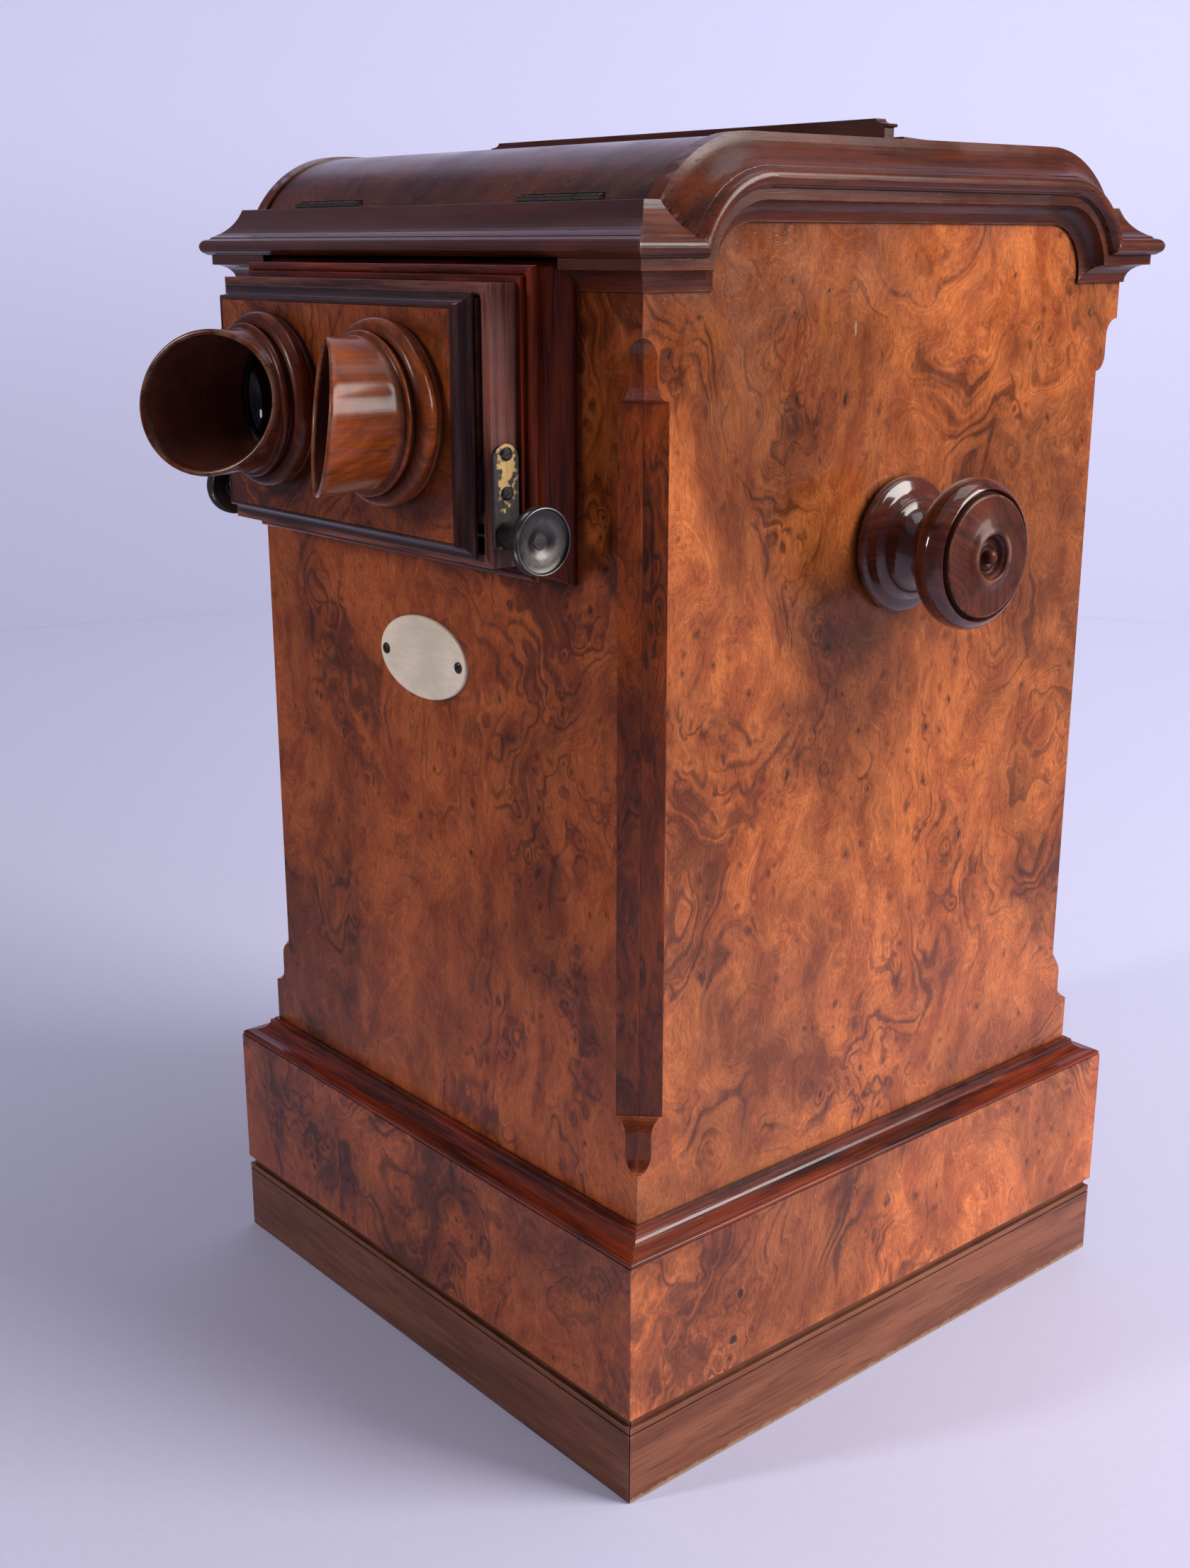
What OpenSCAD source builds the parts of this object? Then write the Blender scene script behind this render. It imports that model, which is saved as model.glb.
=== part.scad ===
// Hand-turned table stereoscope: a veneered cabinet with an endless band of cards inside.
// Millimetres, +Z up, the eyepieces face -Y, origin at the centre of the underside.

/* [Cabinet] */
// Width across the two side faces
body_w = 231.2; // [224:0.1:250]
// Depth across the front and back faces
body_d = 238.9; // [236:0.1:260]
// Thickness of the cabinet panels
wall = 12; // [11:0.5:14]
// Height of the lower edge of the cornice
cornice_z = 404; // [400:0.5:420]
// Thickness of the bottom board
base_t = 10; // [8:0.5:14]
// Side of the triangular glue blocks in the corners
block = 12; // [8:0.5:13]
// Gap between the lens box and the two rails under the lids
rail_up = 1.6; // [0.5:0.1:6]
// Depth of the two rails under the lids
rail_d = 12.4; // [12:0.1:16]

/* [Base] */
// How far the plinth stands out at the sides
plinth_x = 10.8; // [8:0.1:14]
// How far the plinth stands out at front and back
plinth_y = 12.4; // [8:0.1:14]
// Height of the skirt boards
skirt_h = 29.4; // [24:0.1:36]
// How far the skirt is set back from the plinth face
skirt_back = 0.3; // [0:0.1:2]
// Height of the dark groove above the skirt
groove_h = 3.5; // [2:0.1:5]
// Depth of the dark groove above the skirt
groove_d = 1.6; // [0.8:0.1:3]
// Distance of the scratched line below the skirt's top edge
line_drop = 2.1; // [1.5:0.1:6]
// Height of the scratched line
line_h = 0.7; // [0.4:0.1:1.5]
// Depth of the scratched line
line_d = 0.5; // [0.2:0.1:1.5]
// Open joint at each skirt corner
skirt_gap = 0.4; // [0.1:0.1:1]
// Height of the plinth boards
plinth_h = 58; // [50:0.5:66]
// Height of the moulding on top of the plinth
ogee_h = 7.8; // [6:0.1:10]

/* [Chamfers] */
// Width of the corner chamfer along each face
chamfer = 11; // [8:0.5:12]
// Height of one carved stop
stop_h = 19; // [14:0.5:24]
// Distance from the cornice down to the tip of the upper stop
stop_top = 13; // [8:0.5:30]
// Distance from the base moulding up to the tip of the lower stop
stop_low = 17.8; // [8:0.1:40]

/* [Cornice and arch] */
// Height of the cornice moulding
cornice_h = 26.2; // [25:0.1:28]
// Width of the flat ledge inside the cornice
ledge = 7.6; // [6:0.1:8.6]
// Height of the ledge's inner lip
lip_h = 6.2; // [5:0.1:7]
// Distance from the middle to the centre of each side arch
arch_y = 75; // [68:0.5:76]
// Height of the arch centre above the lower cornice edge
arch_up = 3.2; // [2:0.1:5]
// Radius of the lower edge of the arch
arch_r = 17; // [15:0.5:18]

/* [Lids] */
// Thickness of both curved lids
lid_t = 5; // [4:0.1:6]
// Gap between a lid's ends and the cornice lip
lid_gap = 0.6; // [0.4:0.1:1.5]
// How far the lid's face lies below the cornice ridge
lid_drop = 0.9; // [0.3:0.1:2]
// Where the two lids meet, behind the middle
meet_y = 1.8; // [0:0.1:12]
// Half of the gap between the two lids
meet_gap = 1.2; // [0.3:0.1:2]
// Depth of the lifting strip on the front lid
strip_d = 5; // [4:0.1:8]
// Height of the strip's plain core
strip_core = 4.9; // [3:0.1:7]
// Height of the strip's moulded cap
strip_cap = 2.9; // [2:0.1:4]
// How far the strip's core stops short of the lid's ends
strip_in = 2.1; // [1.8:0.1:8]
// How far the cap runs past the core at each end
strip_over = 1.6; // [1:0.1:2]
// How far the rear lid stands proud at its front edge
rear_proud = 2.1; // [0.5:0.1:4]
// Depth over which the rear lid's proud edge runs out
rear_taper = 40; // [25:1:60]
// Length of the mirror under the front lid
mirror_w = 160; // [120:1:180]
// Depth of the mirror under the front lid
mirror_d = 60; // [40:1:61]
// Distance of the mirror's rear edge in front of the middle
mirror_back = 10; // [4:1:11]
// Thickness of the mirror glass
mirror_t = 2.5; // [2:0.1:3]
// Width of the cleats that hold the mirror
cleat_w = 5; // [4:0.1:7]
// Thickness of the cleats below the mirror
cleat_lip = 1.5; // [1:0.1:3]
// Length of each butt hinge
hinge_l = 41; // [30:1:50]
// Distance from the middle to the centre of each hinge
hinge_x = 66; // [50:1:78]
// Radius of the hinge knuckles
knuckle_r = 1.5; // [1.3:0.1:1.6]
// Radius of the hinge pins
hinge_pin_r = 0.7; // [0.6:0.05:0.8]
// Thickness of the hinge leaves
leaf_t = 0.8; // [0.6:0.1:0.9]
// Width of the hinge leaves from the pin
leaf_w = 7; // [5:0.5:8]

/* [Lens box] */
// Outside width of the fixed lens box
box_w = 156; // [150:0.5:164]
// Outside height of the fixed lens box
box_h = 85.8; // [85:0.1:88]
// Height of the middle of the lens box below the cornice edge
box_drop = 40.3; // [39:0.1:41]
// Wall of the fixed lens box
box_t = 4; // [3.5:0.1:5]
// How far the lens box stands out of the front
box_out = 28; // [26:0.5:34]
// How far the lens box reaches in behind the front panel
box_in = 3.4; // [2:0.1:8]
// Width of the frame moulding around the lens box
frame_w = 7.4; // [6:0.1:9]
// How far the frame moulding stands out
frame_out = 17.6; // [14:0.1:20]
// Running gap of the sliding parts
slide_gap = 0.3; // [0.2:0.05:0.5]
// Width of the two runners under the tray
runner_w = 7; // [5:0.5:8]
// Height of the two runners under the tray
runner_h = 3.7; // [2:0.1:5]
// Wall of the sliding tray
tray_t = 3.5; // [3:0.1:4.5]
// Length of the sliding tray behind the lens panel
tray_l = 37; // [34:0.5:40]
// Gap between lens box and lens panel when pushed in
panel_gap = 1.55; // [1:0.05:3]
// Distance of the lens panel's side edges inside the box's sides
panel_side = 10; // [8:0.1:12]
// Distance of the lens panel's upper and lower edges inside the box
panel_rise = 7.4; // [6:0.1:8]
// Least margin of the lens panel beside the eyepieces
eye_margin = 1; // [0.5:0.1:2.5]
// Thickness of the lens panel
panel_t = 6; // [5:0.1:8]
// Width of the moulding around the lens panel
edge_w = 4.8; // [4:0.1:6]

/* [Eyepieces] */
// Distance from the middle to each eyepiece axis
eye_x = 35.5; // [34:0.5:37]
// Height of the eyepiece axes above the middle of the lens panel
eye_up = 2.7; // [0:0.1:4]
// Radius of the flange ring
eye_flange_r = 29.5; // [28:0.1:31]
// Outside radius of the hood at its rim
eye_rim_r = 25.2; // [24:0.1:26]
// Radius of the lens
lens_r = 19; // [17:0.1:20]
// Thickness of the lens at its edge
lens_edge = 1.4; // [1:0.1:2]
// Height of the lens's dome
lens_bulge = 3.2; // [2:0.1:4]
// How far the lens sits behind the panel's face
lens_in = 2; // [1.5:0.1:3]
// Length of the hood on the axis
eye_l = 26.5; // [22:0.5:32]
// Slant of the hood's rim towards the nose
eye_slant = 25.6; // [10:0.1:30]
// Backward lean of the hood's rim
eye_lean = 6.4; // [0:0.1:10]

/* [Focus drive] */
// Gap between the pinions and the back of the lens panel
pinion_front = 0.7; // [0.4:0.1:1.1]
// Gap between the pinions and the box's inner floor
pinion_low = 0.4; // [0.3:0.1:1]
// Radius of the pinion shaft
shaft_r = 2.5; // [2:0.1:3]
// Running clearance of shafts in their holes
run_clear = 0.05; // [0.02:0.01:0.09]
// Teeth of each pinion
pinion_n = 10; // [8:1:11]
// Tooth module of pinion and rack
pinion_m = 1; // [0.9:0.02:1.1]
// Travel of the lens slide
travel = 15.7; // [10:0.1:16]
// Width of the racks and pinions
rack_w = 6; // [4:0.5:9]
// Gap between each rack and the runner beside it
rack_gap = 7; // [2:0.5:18]
// Side play between the teeth
backlash = 0.3; // [0.2:0.05:0.4]
// Width of the brass bearing plates
plate_w = 9.6; // [8:0.1:9.8]
// Length of the plates above the shaft
plate_up = 28; // [24:0.5:34]
// Length of the plates below the shaft
plate_down = 4; // [3.5:0.1:6]
// Thickness of the bearing plates
plate_t = 1.2; // [0.8:0.1:2]
// How deep the plate screws go into the lens box
plate_screw_in = 3; // [2:0.1:3.3]
// Radius of the focus knobs
focus_r = 10.75; // [9:0.05:12]
// Height of the knurled heads of the focus knobs
focus_head = 4.4; // [3.6:0.1:6]
// Gap between the right focus knob's head and the frame moulding
focus_right = 7.7; // [0.3:0.1:10]
// Gap between the left focus knob's head and the frame moulding
focus_left = 0.5; // [0.3:0.1:10]
// Grooves around each focus knob
knurls = 60; // [40:1:72]

/* [Card band] */
// Height of the axle below the cornice edge
axle_drop = 85.5; // [85:0.1:90]
// Radius of the axle
axle_r = 4; // [3:0.1:5]
// Wall of the brass bushes
bush_t = 2.5; // [2:0.1:4]
// Radius of the wooden roller
roller_r = 10; // [8:0.1:11]
// Length of the roller
roller_l = 160; // [150:1:180]
// Gap between roller and tapes
tape_gap = 0.3; // [0.3:0.05:0.6]
// Thickness of the cloth tapes
tape_t = 0.6; // [0.4:0.1:1]
// Width of the cloth tapes
tape_w = 12; // [8:0.5:16]
// Distance from the middle to each tape
tape_x = 55; // [40:1:65]
// Length of the straight run of the band
band_run = 188; // [160:1:190]
// Number of cards on the band
card_n = 24; // [20:2:24]
// Width of a card
card_w = 178; // [168:1:182]
// Height of a card
card_h = 84; // [76:1:84]
// Thickness of a card
card_t = 1; // [0.8:0.1:1.2]
// Depth of the tin card holders
clip_h = 6; // [4:0.5:8]
// Thickness of the tin of the card holders
tin_t = 0.6; // [0.4:0.1:1]
// How far the holders stop short of a card's ends
clip_in = 6; // [2:0.5:20]
// Radius of the flange of the turning knobs
knob_flange_r = 23.4; // [20:0.1:25]
// Radius of the head of the turning knobs
knob_r = 25.5; // [22:0.1:28]
// How far the turning knobs stand out
knob_l = 41.5; // [38:0.5:48]
// Gap between a knob's flange and the side panel
knob_gap = 0.3; // [0.2:0.1:1]
// Distance of the axle's ends behind the faces of the turning knobs
knob_cap = 12; // [8:0.5:16]
// Thickness of the partition between the two sight lines
septum_t = 3; // [2:0.5:5]
// Distance of the partition's rear edge in front of the middle
septum_end = 40; // [20:1:60]
// Height of the partition's lower edge above the lens box's underside
septum_low = 9; // [4:0.5:20]

/* [Plaque] */
// Width of the oval plaque
plaque_w = 52; // [44:0.5:60]
// Height of the oval plaque
plaque_h = 30; // [24:0.5:34]
// Thickness of the plaque
plaque_t = 1.2; // [0.8:0.1:2]
// Height of the plaque's middle below the cornice edge
plaque_drop = 128; // [125:0.5:160]
// Distance from the middle to each plaque screw
plaque_screw_x = 22; // [18:0.5:22.5]
// How deep the plaque screws go into the panel
plaque_screw_in = 5; // [3:0.5:8]

/* [Hidden] */
$fn = 96;
// Overlength of cutting shapes
reach = 30;
// Gap of flat faces that rest close to each other
seat_gap = 0.3;
// Free space around the hinge knuckles
knuckle_gap = 0.3;
// Gap between the closed leaves of a hinge
leaf_gap = 0.2;
// Shank radii of the small screws
plate_shank = 0.8;
plaque_shank = 0.9;
// Head radii, head heights and slot turns of the small screws
plate_head_r = 2.1;
plate_head_t = 0.8;
plate_slot = 130;
plaque_head_r = 2;
plaque_head_t = 0.7;
plaque_slot = 35;
// Distances of the plate screws below the plate's upper end
plate_screw_at = [15, 3];
// Pressure angle of the teeth
tooth_a = 20;
// Height the cornice outline is drawn at
cornice_drawn = 26.2;
R = body_w / 2;
F = body_d / 2;
skirt_x = plinth_x - skirt_back;
skirt_y = plinth_y - skirt_back;
line_z = skirt_h - line_drop - line_h;
plinth_z = skirt_h + groove_h;
ogee_z = plinth_z + plinth_h;
body_z = ogee_z + ogee_h;
top_z = cornice_z + cornice_h;
panel_top = top_z - lip_h;
arch_z = cornice_z + arch_up;
ridge_z = arch_z + arch_r + cornice_h;
bed_r = arch_r + cornice_h - lip_h;
cornice_k = cornice_h / cornice_drawn;
lid_r = arch_r + cornice_h - lid_drop;
lid_in = lid_r - lid_t;
lid_hw = R - ledge - lid_gap;
lid_z = top_z + seat_gap;
lid_top = arch_z + lid_r;
lid_end = meet_y - meet_gap;
rear_end = meet_y + meet_gap;
mirror_z = lid_top - lid_t;
hinge_y = F - ledge - knuckle_r - knuckle_gap;
hinge_z = lid_z + leaf_t / 2 + leaf_gap / 2;
leaf_low = -leaf_t / 2 - leaf_gap - leaf_t;
rail_in = F - wall;
box_z = cornice_z - box_drop;
bx = box_w / 2;
bz0 = box_z - box_h / 2;
bz1 = box_z + box_h / 2;
panel_w = max(box_w - 2 * panel_side, 2 * (eye_x + eye_flange_r + eye_margin));
panel_h = box_h - 2 * panel_rise;
box_y = -F - box_out;
box_back = -F + wall + box_in;
panel_y = box_y - panel_gap;
face_y = panel_y - panel_t;
rail_z = bz1 + rail_up;
pitch_r = pinion_n * pinion_m / 2;
addendum = 0.8 * pinion_m;
dedendum = 1.1 * pinion_m;
tooth_pitch = PI * pinion_m;
shaft_y = panel_y + pitch_r + addendum + pinion_front;
shaft_z = bz0 + box_t + pitch_r + addendum + pinion_low;
tray_z0 = shaft_z + pitch_r + 2 * pinion_m;
tray_z1 = bz1 - box_t - slide_gap;
tray_hw = bx - box_t - slide_gap;
rack_x = bx - box_t - runner_w - rack_gap - rack_w / 2;
eye_z = box_z + eye_up;
hood_l = eye_l + eye_rim_r * (tan(eye_slant) + tan(eye_lean)) + 2;
seat_r = lens_r + 0.1;
ring_y = lens_edge - lens_in + 0.6;
spigot_r = lens_r + 2;
axle_z = cornice_z - axle_drop;
band_r = roller_r + tape_gap + tape_t / 2;
band_len = 2 * band_run + 2 * PI * band_r;
plaque_z = cornice_z - plaque_drop;
plate_screw_z = [for (d = plate_screw_at) plate_up - d];
focus_cap = 0.8 * focus_head;
focus_base = plate_t + seat_gap;
out_right = frame_w + focus_right + focus_head;
out_left = frame_w + focus_left + focus_head;

// Shared outlines

function arc(cx, cy, r, a0, a1, n) =
    [for (i = [0:n]) [cx + r * cos(a0 + (a1 - a0) * i / n), cy + r * sin(a0 + (a1 - a0) * i / n)]];

// Cornice outline as [outward, up] from the lower edge on the panel's face
cornice_face = concat(
    [[0, 0], [1, 0]],
    arc(6.8, 0.4, 5.8, 180, 90, 6),
    [[7.5, 6.3], [7.5, 9.6], [9, 10]],
    arc(8.3, 12.8, 2.7, -70, 90, 10),
    [[7.6, 15.9]],
    arc(13.24, 30.31, 15.2, 248.2, 200.45, 8),
    [[-1.5, cornice_drawn]]);
cornice_pts = concat(
    [for (p = cornice_face) [p[0], p[1] * cornice_k]],
    [[-ledge, cornice_h], [-ledge, cornice_h - lip_h], [0, cornice_h - lip_h]]);

// Plinth moulding outline as [share of the ledge, up]
ogee_pts = concat(
    [[0, 0], [0.965, 0], [0.965, 1.2], [0.9, 1.7]],
    [for (i = [0:8]) [0.86 - 0.62 * sin(i * 11.25), 1.9 + (ogee_h - 3.5) * (1 - cos(i * 11.25))]],
    [[0.24, ogee_h - 0.9], [0.12, ogee_h - 0.9], [0.12, ogee_h], [0, ogee_h]]);

// Lens frame outline as [outward from the box, forward from the front]
frame_pts = concat(
    [[0, 0], [frame_w, 0], [frame_w, 1.6]],
    [for (i = [1:7]) [frame_w - 3.2 * sin(i * 12), 1.6 + (frame_out - 7.6) * (i / 7)]],
    arc(frame_w - 4.2, frame_out - 3.6, 1.9, -20, 130, 8),
    [[2, frame_out - 1.4], [2, frame_out], [0, frame_out]]);

// Lens panel edge outline as [outward from the panel, forward from its back]
edge_pts = concat(
    [[0, 0], [edge_w, 0], [edge_w, 1.3]],
    arc(edge_w, panel_t - 1.3, panel_t - 2.6, 270, 180, 7),
    [[edge_w - panel_t + 2.6, panel_t - 0.4], [0.7, panel_t + 0.2], [0, panel_t + 0.2]]);

// Half width of the boundary between the level cornice and the arch at height z
function valley(z) =
    arch_y + sqrt(pow(z - cornice_z + arch_r, 2) - pow(z - arch_z, 2));

module run_front(len, z0) {
    translate([0, -F, z0])
    rotate([90, 0, -90])
    linear_extrude(height = len, center = true)
    children();
}

module run_right(len, z0) {
    translate([R, 0, z0])
    rotate([90, 0, 0])
    linear_extrude(height = len, center = true)
    children();
}

// Mitred plan of a front member between the inner and outer shares k0 and k1
module plan_front(tx, ty, k0, k1, z0, z1, gap = 0) {
    translate([0, 0, z0])
    linear_extrude(height = z1 - z0)
    polygon([
        [-R - tx * k0 + gap, -F - ty * k0],
        [R + tx * k0 - gap, -F - ty * k0],
        [R + tx * k1 - gap, -F - ty * k1],
        [-R - tx * k1 + gap, -F - ty * k1]]);
}

module plan_right(tx, ty, k0, k1, z0, z1, gap = 0) {
    translate([0, 0, z0])
    linear_extrude(height = z1 - z0)
    polygon([
        [R + tx * k0, -F - ty * k0 + gap],
        [R + tx * k1, -F - ty * k1 + gap],
        [R + tx * k1, F + ty * k1 - gap],
        [R + tx * k0, F + ty * k0 - gap]]);
}

module xrod(r, x0, x1, y, z) {
    translate([x0, y, z])
    rotate([0, 90, 0])
    cylinder(r = r, h = x1 - x0);
}

module box(x0, x1, y0, y1, z0, z1) {
    translate([x0, y0, z0])
    cube([x1 - x0, y1 - y0, z1 - z0]);
}

// Slotted round-headed screw along +Z, its head resting on z = 0
module screw(head_r, head_h, shank_r, shank_l, turn) {
    difference() {
        union() {
            cylinder(r = head_r, h = head_h * 0.55);
            translate([0, 0, head_h * 0.55])
            cylinder(r1 = head_r, r2 = head_r * 0.72, h = head_h * 0.45);
            translate([0, 0, -shank_l])
            cylinder(r = shank_r, h = shank_l + 0.1);
        }
        rotate([0, 0, turn])
        translate([-head_r - 1, -head_r * 0.13, head_h * 0.45])
        cube([2 * head_r + 2, head_r * 0.26, head_h]);
    }
}

// Base

module base_board() {
    color([0.42, 0.30, 0.20])
    box(-R + wall, R - wall, -F + wall, F - wall, 0, base_t);
}

module skirt_front() {
    kt = (skirt_y - groove_d) / skirt_y;
    ks = (skirt_y - line_d) / skirt_y;
    color([0.40, 0.17, 0.09])
    union() {
        plan_front(skirt_x, skirt_y, 0, 1, 0, line_z, skirt_gap / 2);
        plan_front(skirt_x, skirt_y, 0, ks, line_z, line_z + line_h, skirt_gap / 2);
        plan_front(skirt_x, skirt_y, 0, 1, line_z + line_h, skirt_h, skirt_gap / 2);
        plan_front(skirt_x, skirt_y, 0, kt, skirt_h, plinth_z, skirt_gap / 2);
    }
}

module skirt_back() {
    mirror([0, 1, 0])
    skirt_front();
}

module skirt_right() {
    kt = (skirt_x - groove_d) / skirt_x;
    ks = (skirt_x - line_d) / skirt_x;
    color([0.40, 0.17, 0.09])
    union() {
        plan_right(skirt_x, skirt_y, 0, 1, 0, line_z, skirt_gap / 2);
        plan_right(skirt_x, skirt_y, 0, ks, line_z, line_z + line_h, skirt_gap / 2);
        plan_right(skirt_x, skirt_y, 0, 1, line_z + line_h, skirt_h, skirt_gap / 2);
        plan_right(skirt_x, skirt_y, 0, kt, skirt_h, plinth_z, skirt_gap / 2);
    }
}

module skirt_left() {
    mirror([1, 0, 0])
    skirt_right();
}

module plinth_front() {
    color([0.47, 0.23, 0.10])
    plan_front(plinth_x, plinth_y, 0, 1, plinth_z, ogee_z);
}

module plinth_back() {
    mirror([0, 1, 0])
    plinth_front();
}

module plinth_right() {
    color([0.47, 0.23, 0.10])
    plan_right(plinth_x, plinth_y, 0, 1, plinth_z, ogee_z);
}

module plinth_left() {
    mirror([1, 0, 0])
    plinth_right();
}

module plinth_moulding_front() {
    color([0.22, 0.10, 0.07])
    intersection() {
        run_front(body_w + 2 * reach, ogee_z)
        polygon([for (p = ogee_pts) [p[0] * plinth_y, p[1]]]);
        plan_front(plinth_x, plinth_y, 0, 2, ogee_z - 1, body_z + 1);
    }
}

module plinth_moulding_back() {
    mirror([0, 1, 0])
    plinth_moulding_front();
}

module plinth_moulding_right() {
    color([0.22, 0.10, 0.07])
    intersection() {
        run_right(body_d + 2 * reach, ogee_z)
        polygon([for (p = ogee_pts) [p[0] * plinth_x, p[1]]]);
        plan_right(plinth_x, plinth_y, 0, 2, ogee_z - 1, body_z + 1);
    }
}

module plinth_moulding_left() {
    mirror([1, 0, 0])
    plinth_moulding_right();
}

// Cabinet

// Carved stop chamfer for the front right corner, cut square to the diagonal
module chamfer_cut() {
    za = body_z + stop_low;
    zb = cornice_z - stop_top;
    q = chamfer / sqrt(2);
    s = 0.55 * q;
    h1 = stop_h * 0.32;
    stop = concat(
        [for (i = [0:6]) [s * sin(i * 15), h1 * (1 - cos(i * 15))]],
        [for (i = [0:6]) [q - (q - s) * cos(i * 15), stop_h - h1 + h1 * sin(i * 15)]]);
    n = len(stop);
    pts = concat(
        [[-chamfer, 0]],
        stop,
        [for (i = [0:n - 1]) [stop[n - 1 - i][0], zb - za - stop[n - 1 - i][1]]],
        [[-chamfer, zb - za]]);
    translate([R, -F, za])
    rotate([0, 0, 135])
    rotate([90, 0, 0])
    linear_extrude(height = 2 * reach, center = true)
    polygon(pts);
}

module front_panel() {
    color([0.45, 0.20, 0.09])
    difference() {
        plan_front(wall, wall, -1, 0, 0, panel_top);
        chamfer_cut();
        mirror([1, 0, 0])
        chamfer_cut();
        box(-bx, bx, -F - 1, -F + wall + 1, bz0, bz1);
        for (s = [-1, 1])
            translate([s * plaque_screw_x, -F, plaque_z])
            rotate([90, 0, 0])
            cylinder(r = plaque_shank, h = 2 * plaque_screw_in, center = true);
    }
}

module back_panel() {
    color([0.45, 0.20, 0.09])
    mirror([0, 1, 0])
    difference() {
        plan_front(wall, wall, -1, 0, 0, panel_top);
        chamfer_cut();
        mirror([1, 0, 0])
        chamfer_cut();
    }
}

module right_panel() {
    color([0.52, 0.25, 0.10])
    difference() {
        union() {
            plan_right(wall, wall, -1, 0, 0, panel_top);
            box(R - wall, R, -arch_y, arch_y, panel_top - 1, arch_z + bed_r);
            for (s = [-1, 1])
                intersection() {
                    xrod(bed_r, R - wall, R, s * arch_y, arch_z);
                    box(R - wall, R, min(0, s * F), max(0, s * F), panel_top - 1, ridge_z);
                }
        }
        chamfer_cut();
        mirror([0, 1, 0])
        chamfer_cut();
        xrod(axle_r + bush_t, R - wall - 1, R + 1, 0, axle_z);
    }
}

module left_panel() {
    mirror([1, 0, 0])
    right_panel();
}

module corner_blocks() {
    color([0.45, 0.33, 0.22])
    for (sx = [0, 1], sy = [0, 1])
        mirror([sx, 0, 0])
        mirror([0, sy, 0])
        translate([R - wall, F - wall, base_t])
        linear_extrude(height = rail_z - base_t)
        polygon([[0, 0], [-block, 0], [0, -block]]);
}

module top_rails() {
    color([0.40, 0.28, 0.18])
    for (s = [0, 1])
        mirror([0, s, 0])
        difference() {
            box(-R + wall, R - wall, -rail_in, -rail_in + rail_d, rail_z, top_z);
            for (x = [-1, 1])
                box(x * hinge_x - hinge_l / 2, x * hinge_x + hinge_l / 2,
                    -hinge_y, -hinge_y + leaf_w, hinge_z + leaf_low, top_z + 1);
            for (x = [-1, 1])
                box(x * hinge_x - hinge_l / 2 - knuckle_gap, x * hinge_x + hinge_l / 2 + knuckle_gap,
                    -F, -hinge_y + knuckle_r + knuckle_gap,
                    hinge_z - knuckle_r - knuckle_gap, top_z + 1);
        }
}

// Cornice

module cornice_front() {
    color([0.24, 0.10, 0.07])
    difference() {
        intersection() {
            run_front(body_w + 2 * reach, cornice_z)
            polygon(cornice_pts);
            plan_front(1, 1, -ledge - 1, reach, cornice_z - 1, top_z + 1);
        }
        box(-bx - frame_w, bx + frame_w, -F - reach, -F, cornice_z - 1, bz1 + frame_w);
    }
}

module cornice_back() {
    color([0.24, 0.10, 0.07])
    mirror([0, 1, 0])
    intersection() {
        run_front(body_w + 2 * reach, cornice_z)
        polygon(cornice_pts);
        plan_front(1, 1, -ledge - 1, reach, cornice_z - 1, top_z + 1);
    }
}

// Region of the front half that belongs to the arch, as [depth, height]
valley_pts = [for (i = [0:8]) [-valley(cornice_z + i * cornice_h / 8), cornice_z + i * cornice_h / 8]];

module cornice_corner() {
    intersection() {
        run_right(body_d + 2 * reach, cornice_z)
        polygon(cornice_pts);
        plan_right(1, 1, -ledge - 1, reach, cornice_z - 1, top_z + 1);
        translate([R - reach, 0, 0])
        rotate([90, 0, 90])
        linear_extrude(height = 2 * reach)
        polygon(concat(
            [[-F - reach, top_z], [-F - reach, cornice_z]],
            valley_pts));
    }
}

module cornice_arch() {
    intersection() {
        translate([R, -arch_y, arch_z])
        rotate([0, 90, 0])
        rotate_extrude()
        polygon([for (p = cornice_pts) [arch_r + p[1], p[0]]]);
        translate([R - reach, 0, 0])
        rotate([90, 0, 90])
        linear_extrude(height = 2 * reach)
        polygon(concat(
            valley_pts,
            [[valley_pts[8][0], ridge_z + 2], [-arch_y, ridge_z + 2], [-arch_y, cornice_z]]));
    }
}

module cornice_right() {
    color([0.30, 0.13, 0.08])
    union() {
        for (s = [0, 1])
            mirror([0, s, 0])
            union() {
                cornice_corner();
                cornice_arch();
            }
        run_right(2 * arch_y, arch_z + arch_r)
        polygon(cornice_pts);
    }
}

module cornice_left() {
    mirror([1, 0, 0])
    cornice_right();
}

// Lids

module lid_shell(y_end) {
    difference() {
        union() {
            intersection() {
                xrod(lid_r, -lid_hw, lid_hw, -arch_y, arch_z);
                box(-lid_hw, lid_hw, -F, -arch_y, lid_z, lid_top + 1);
            }
            box(-lid_hw, lid_hw, -arch_y, y_end, lid_top - lid_t, lid_top);
        }
        xrod(lid_in, -lid_hw - 1, lid_hw + 1, -arch_y, arch_z);
        for (x = [-1, 1])
            box(x * hinge_x - hinge_l / 2, x * hinge_x + hinge_l / 2,
                -hinge_y, -hinge_y + leaf_w, lid_z - 1, hinge_z + leaf_t / 2);
        for (x = [-1, 1])
            box(x * hinge_x - hinge_l / 2 - knuckle_gap, x * hinge_x + hinge_l / 2 + knuckle_gap,
                -F, -hinge_y + knuckle_r + knuckle_gap, lid_z - 1, hinge_z + knuckle_r + knuckle_gap);
    }
}

module front_lid() {
    color([0.30, 0.17, 0.12])
    lid_shell(lid_end);
}

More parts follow.
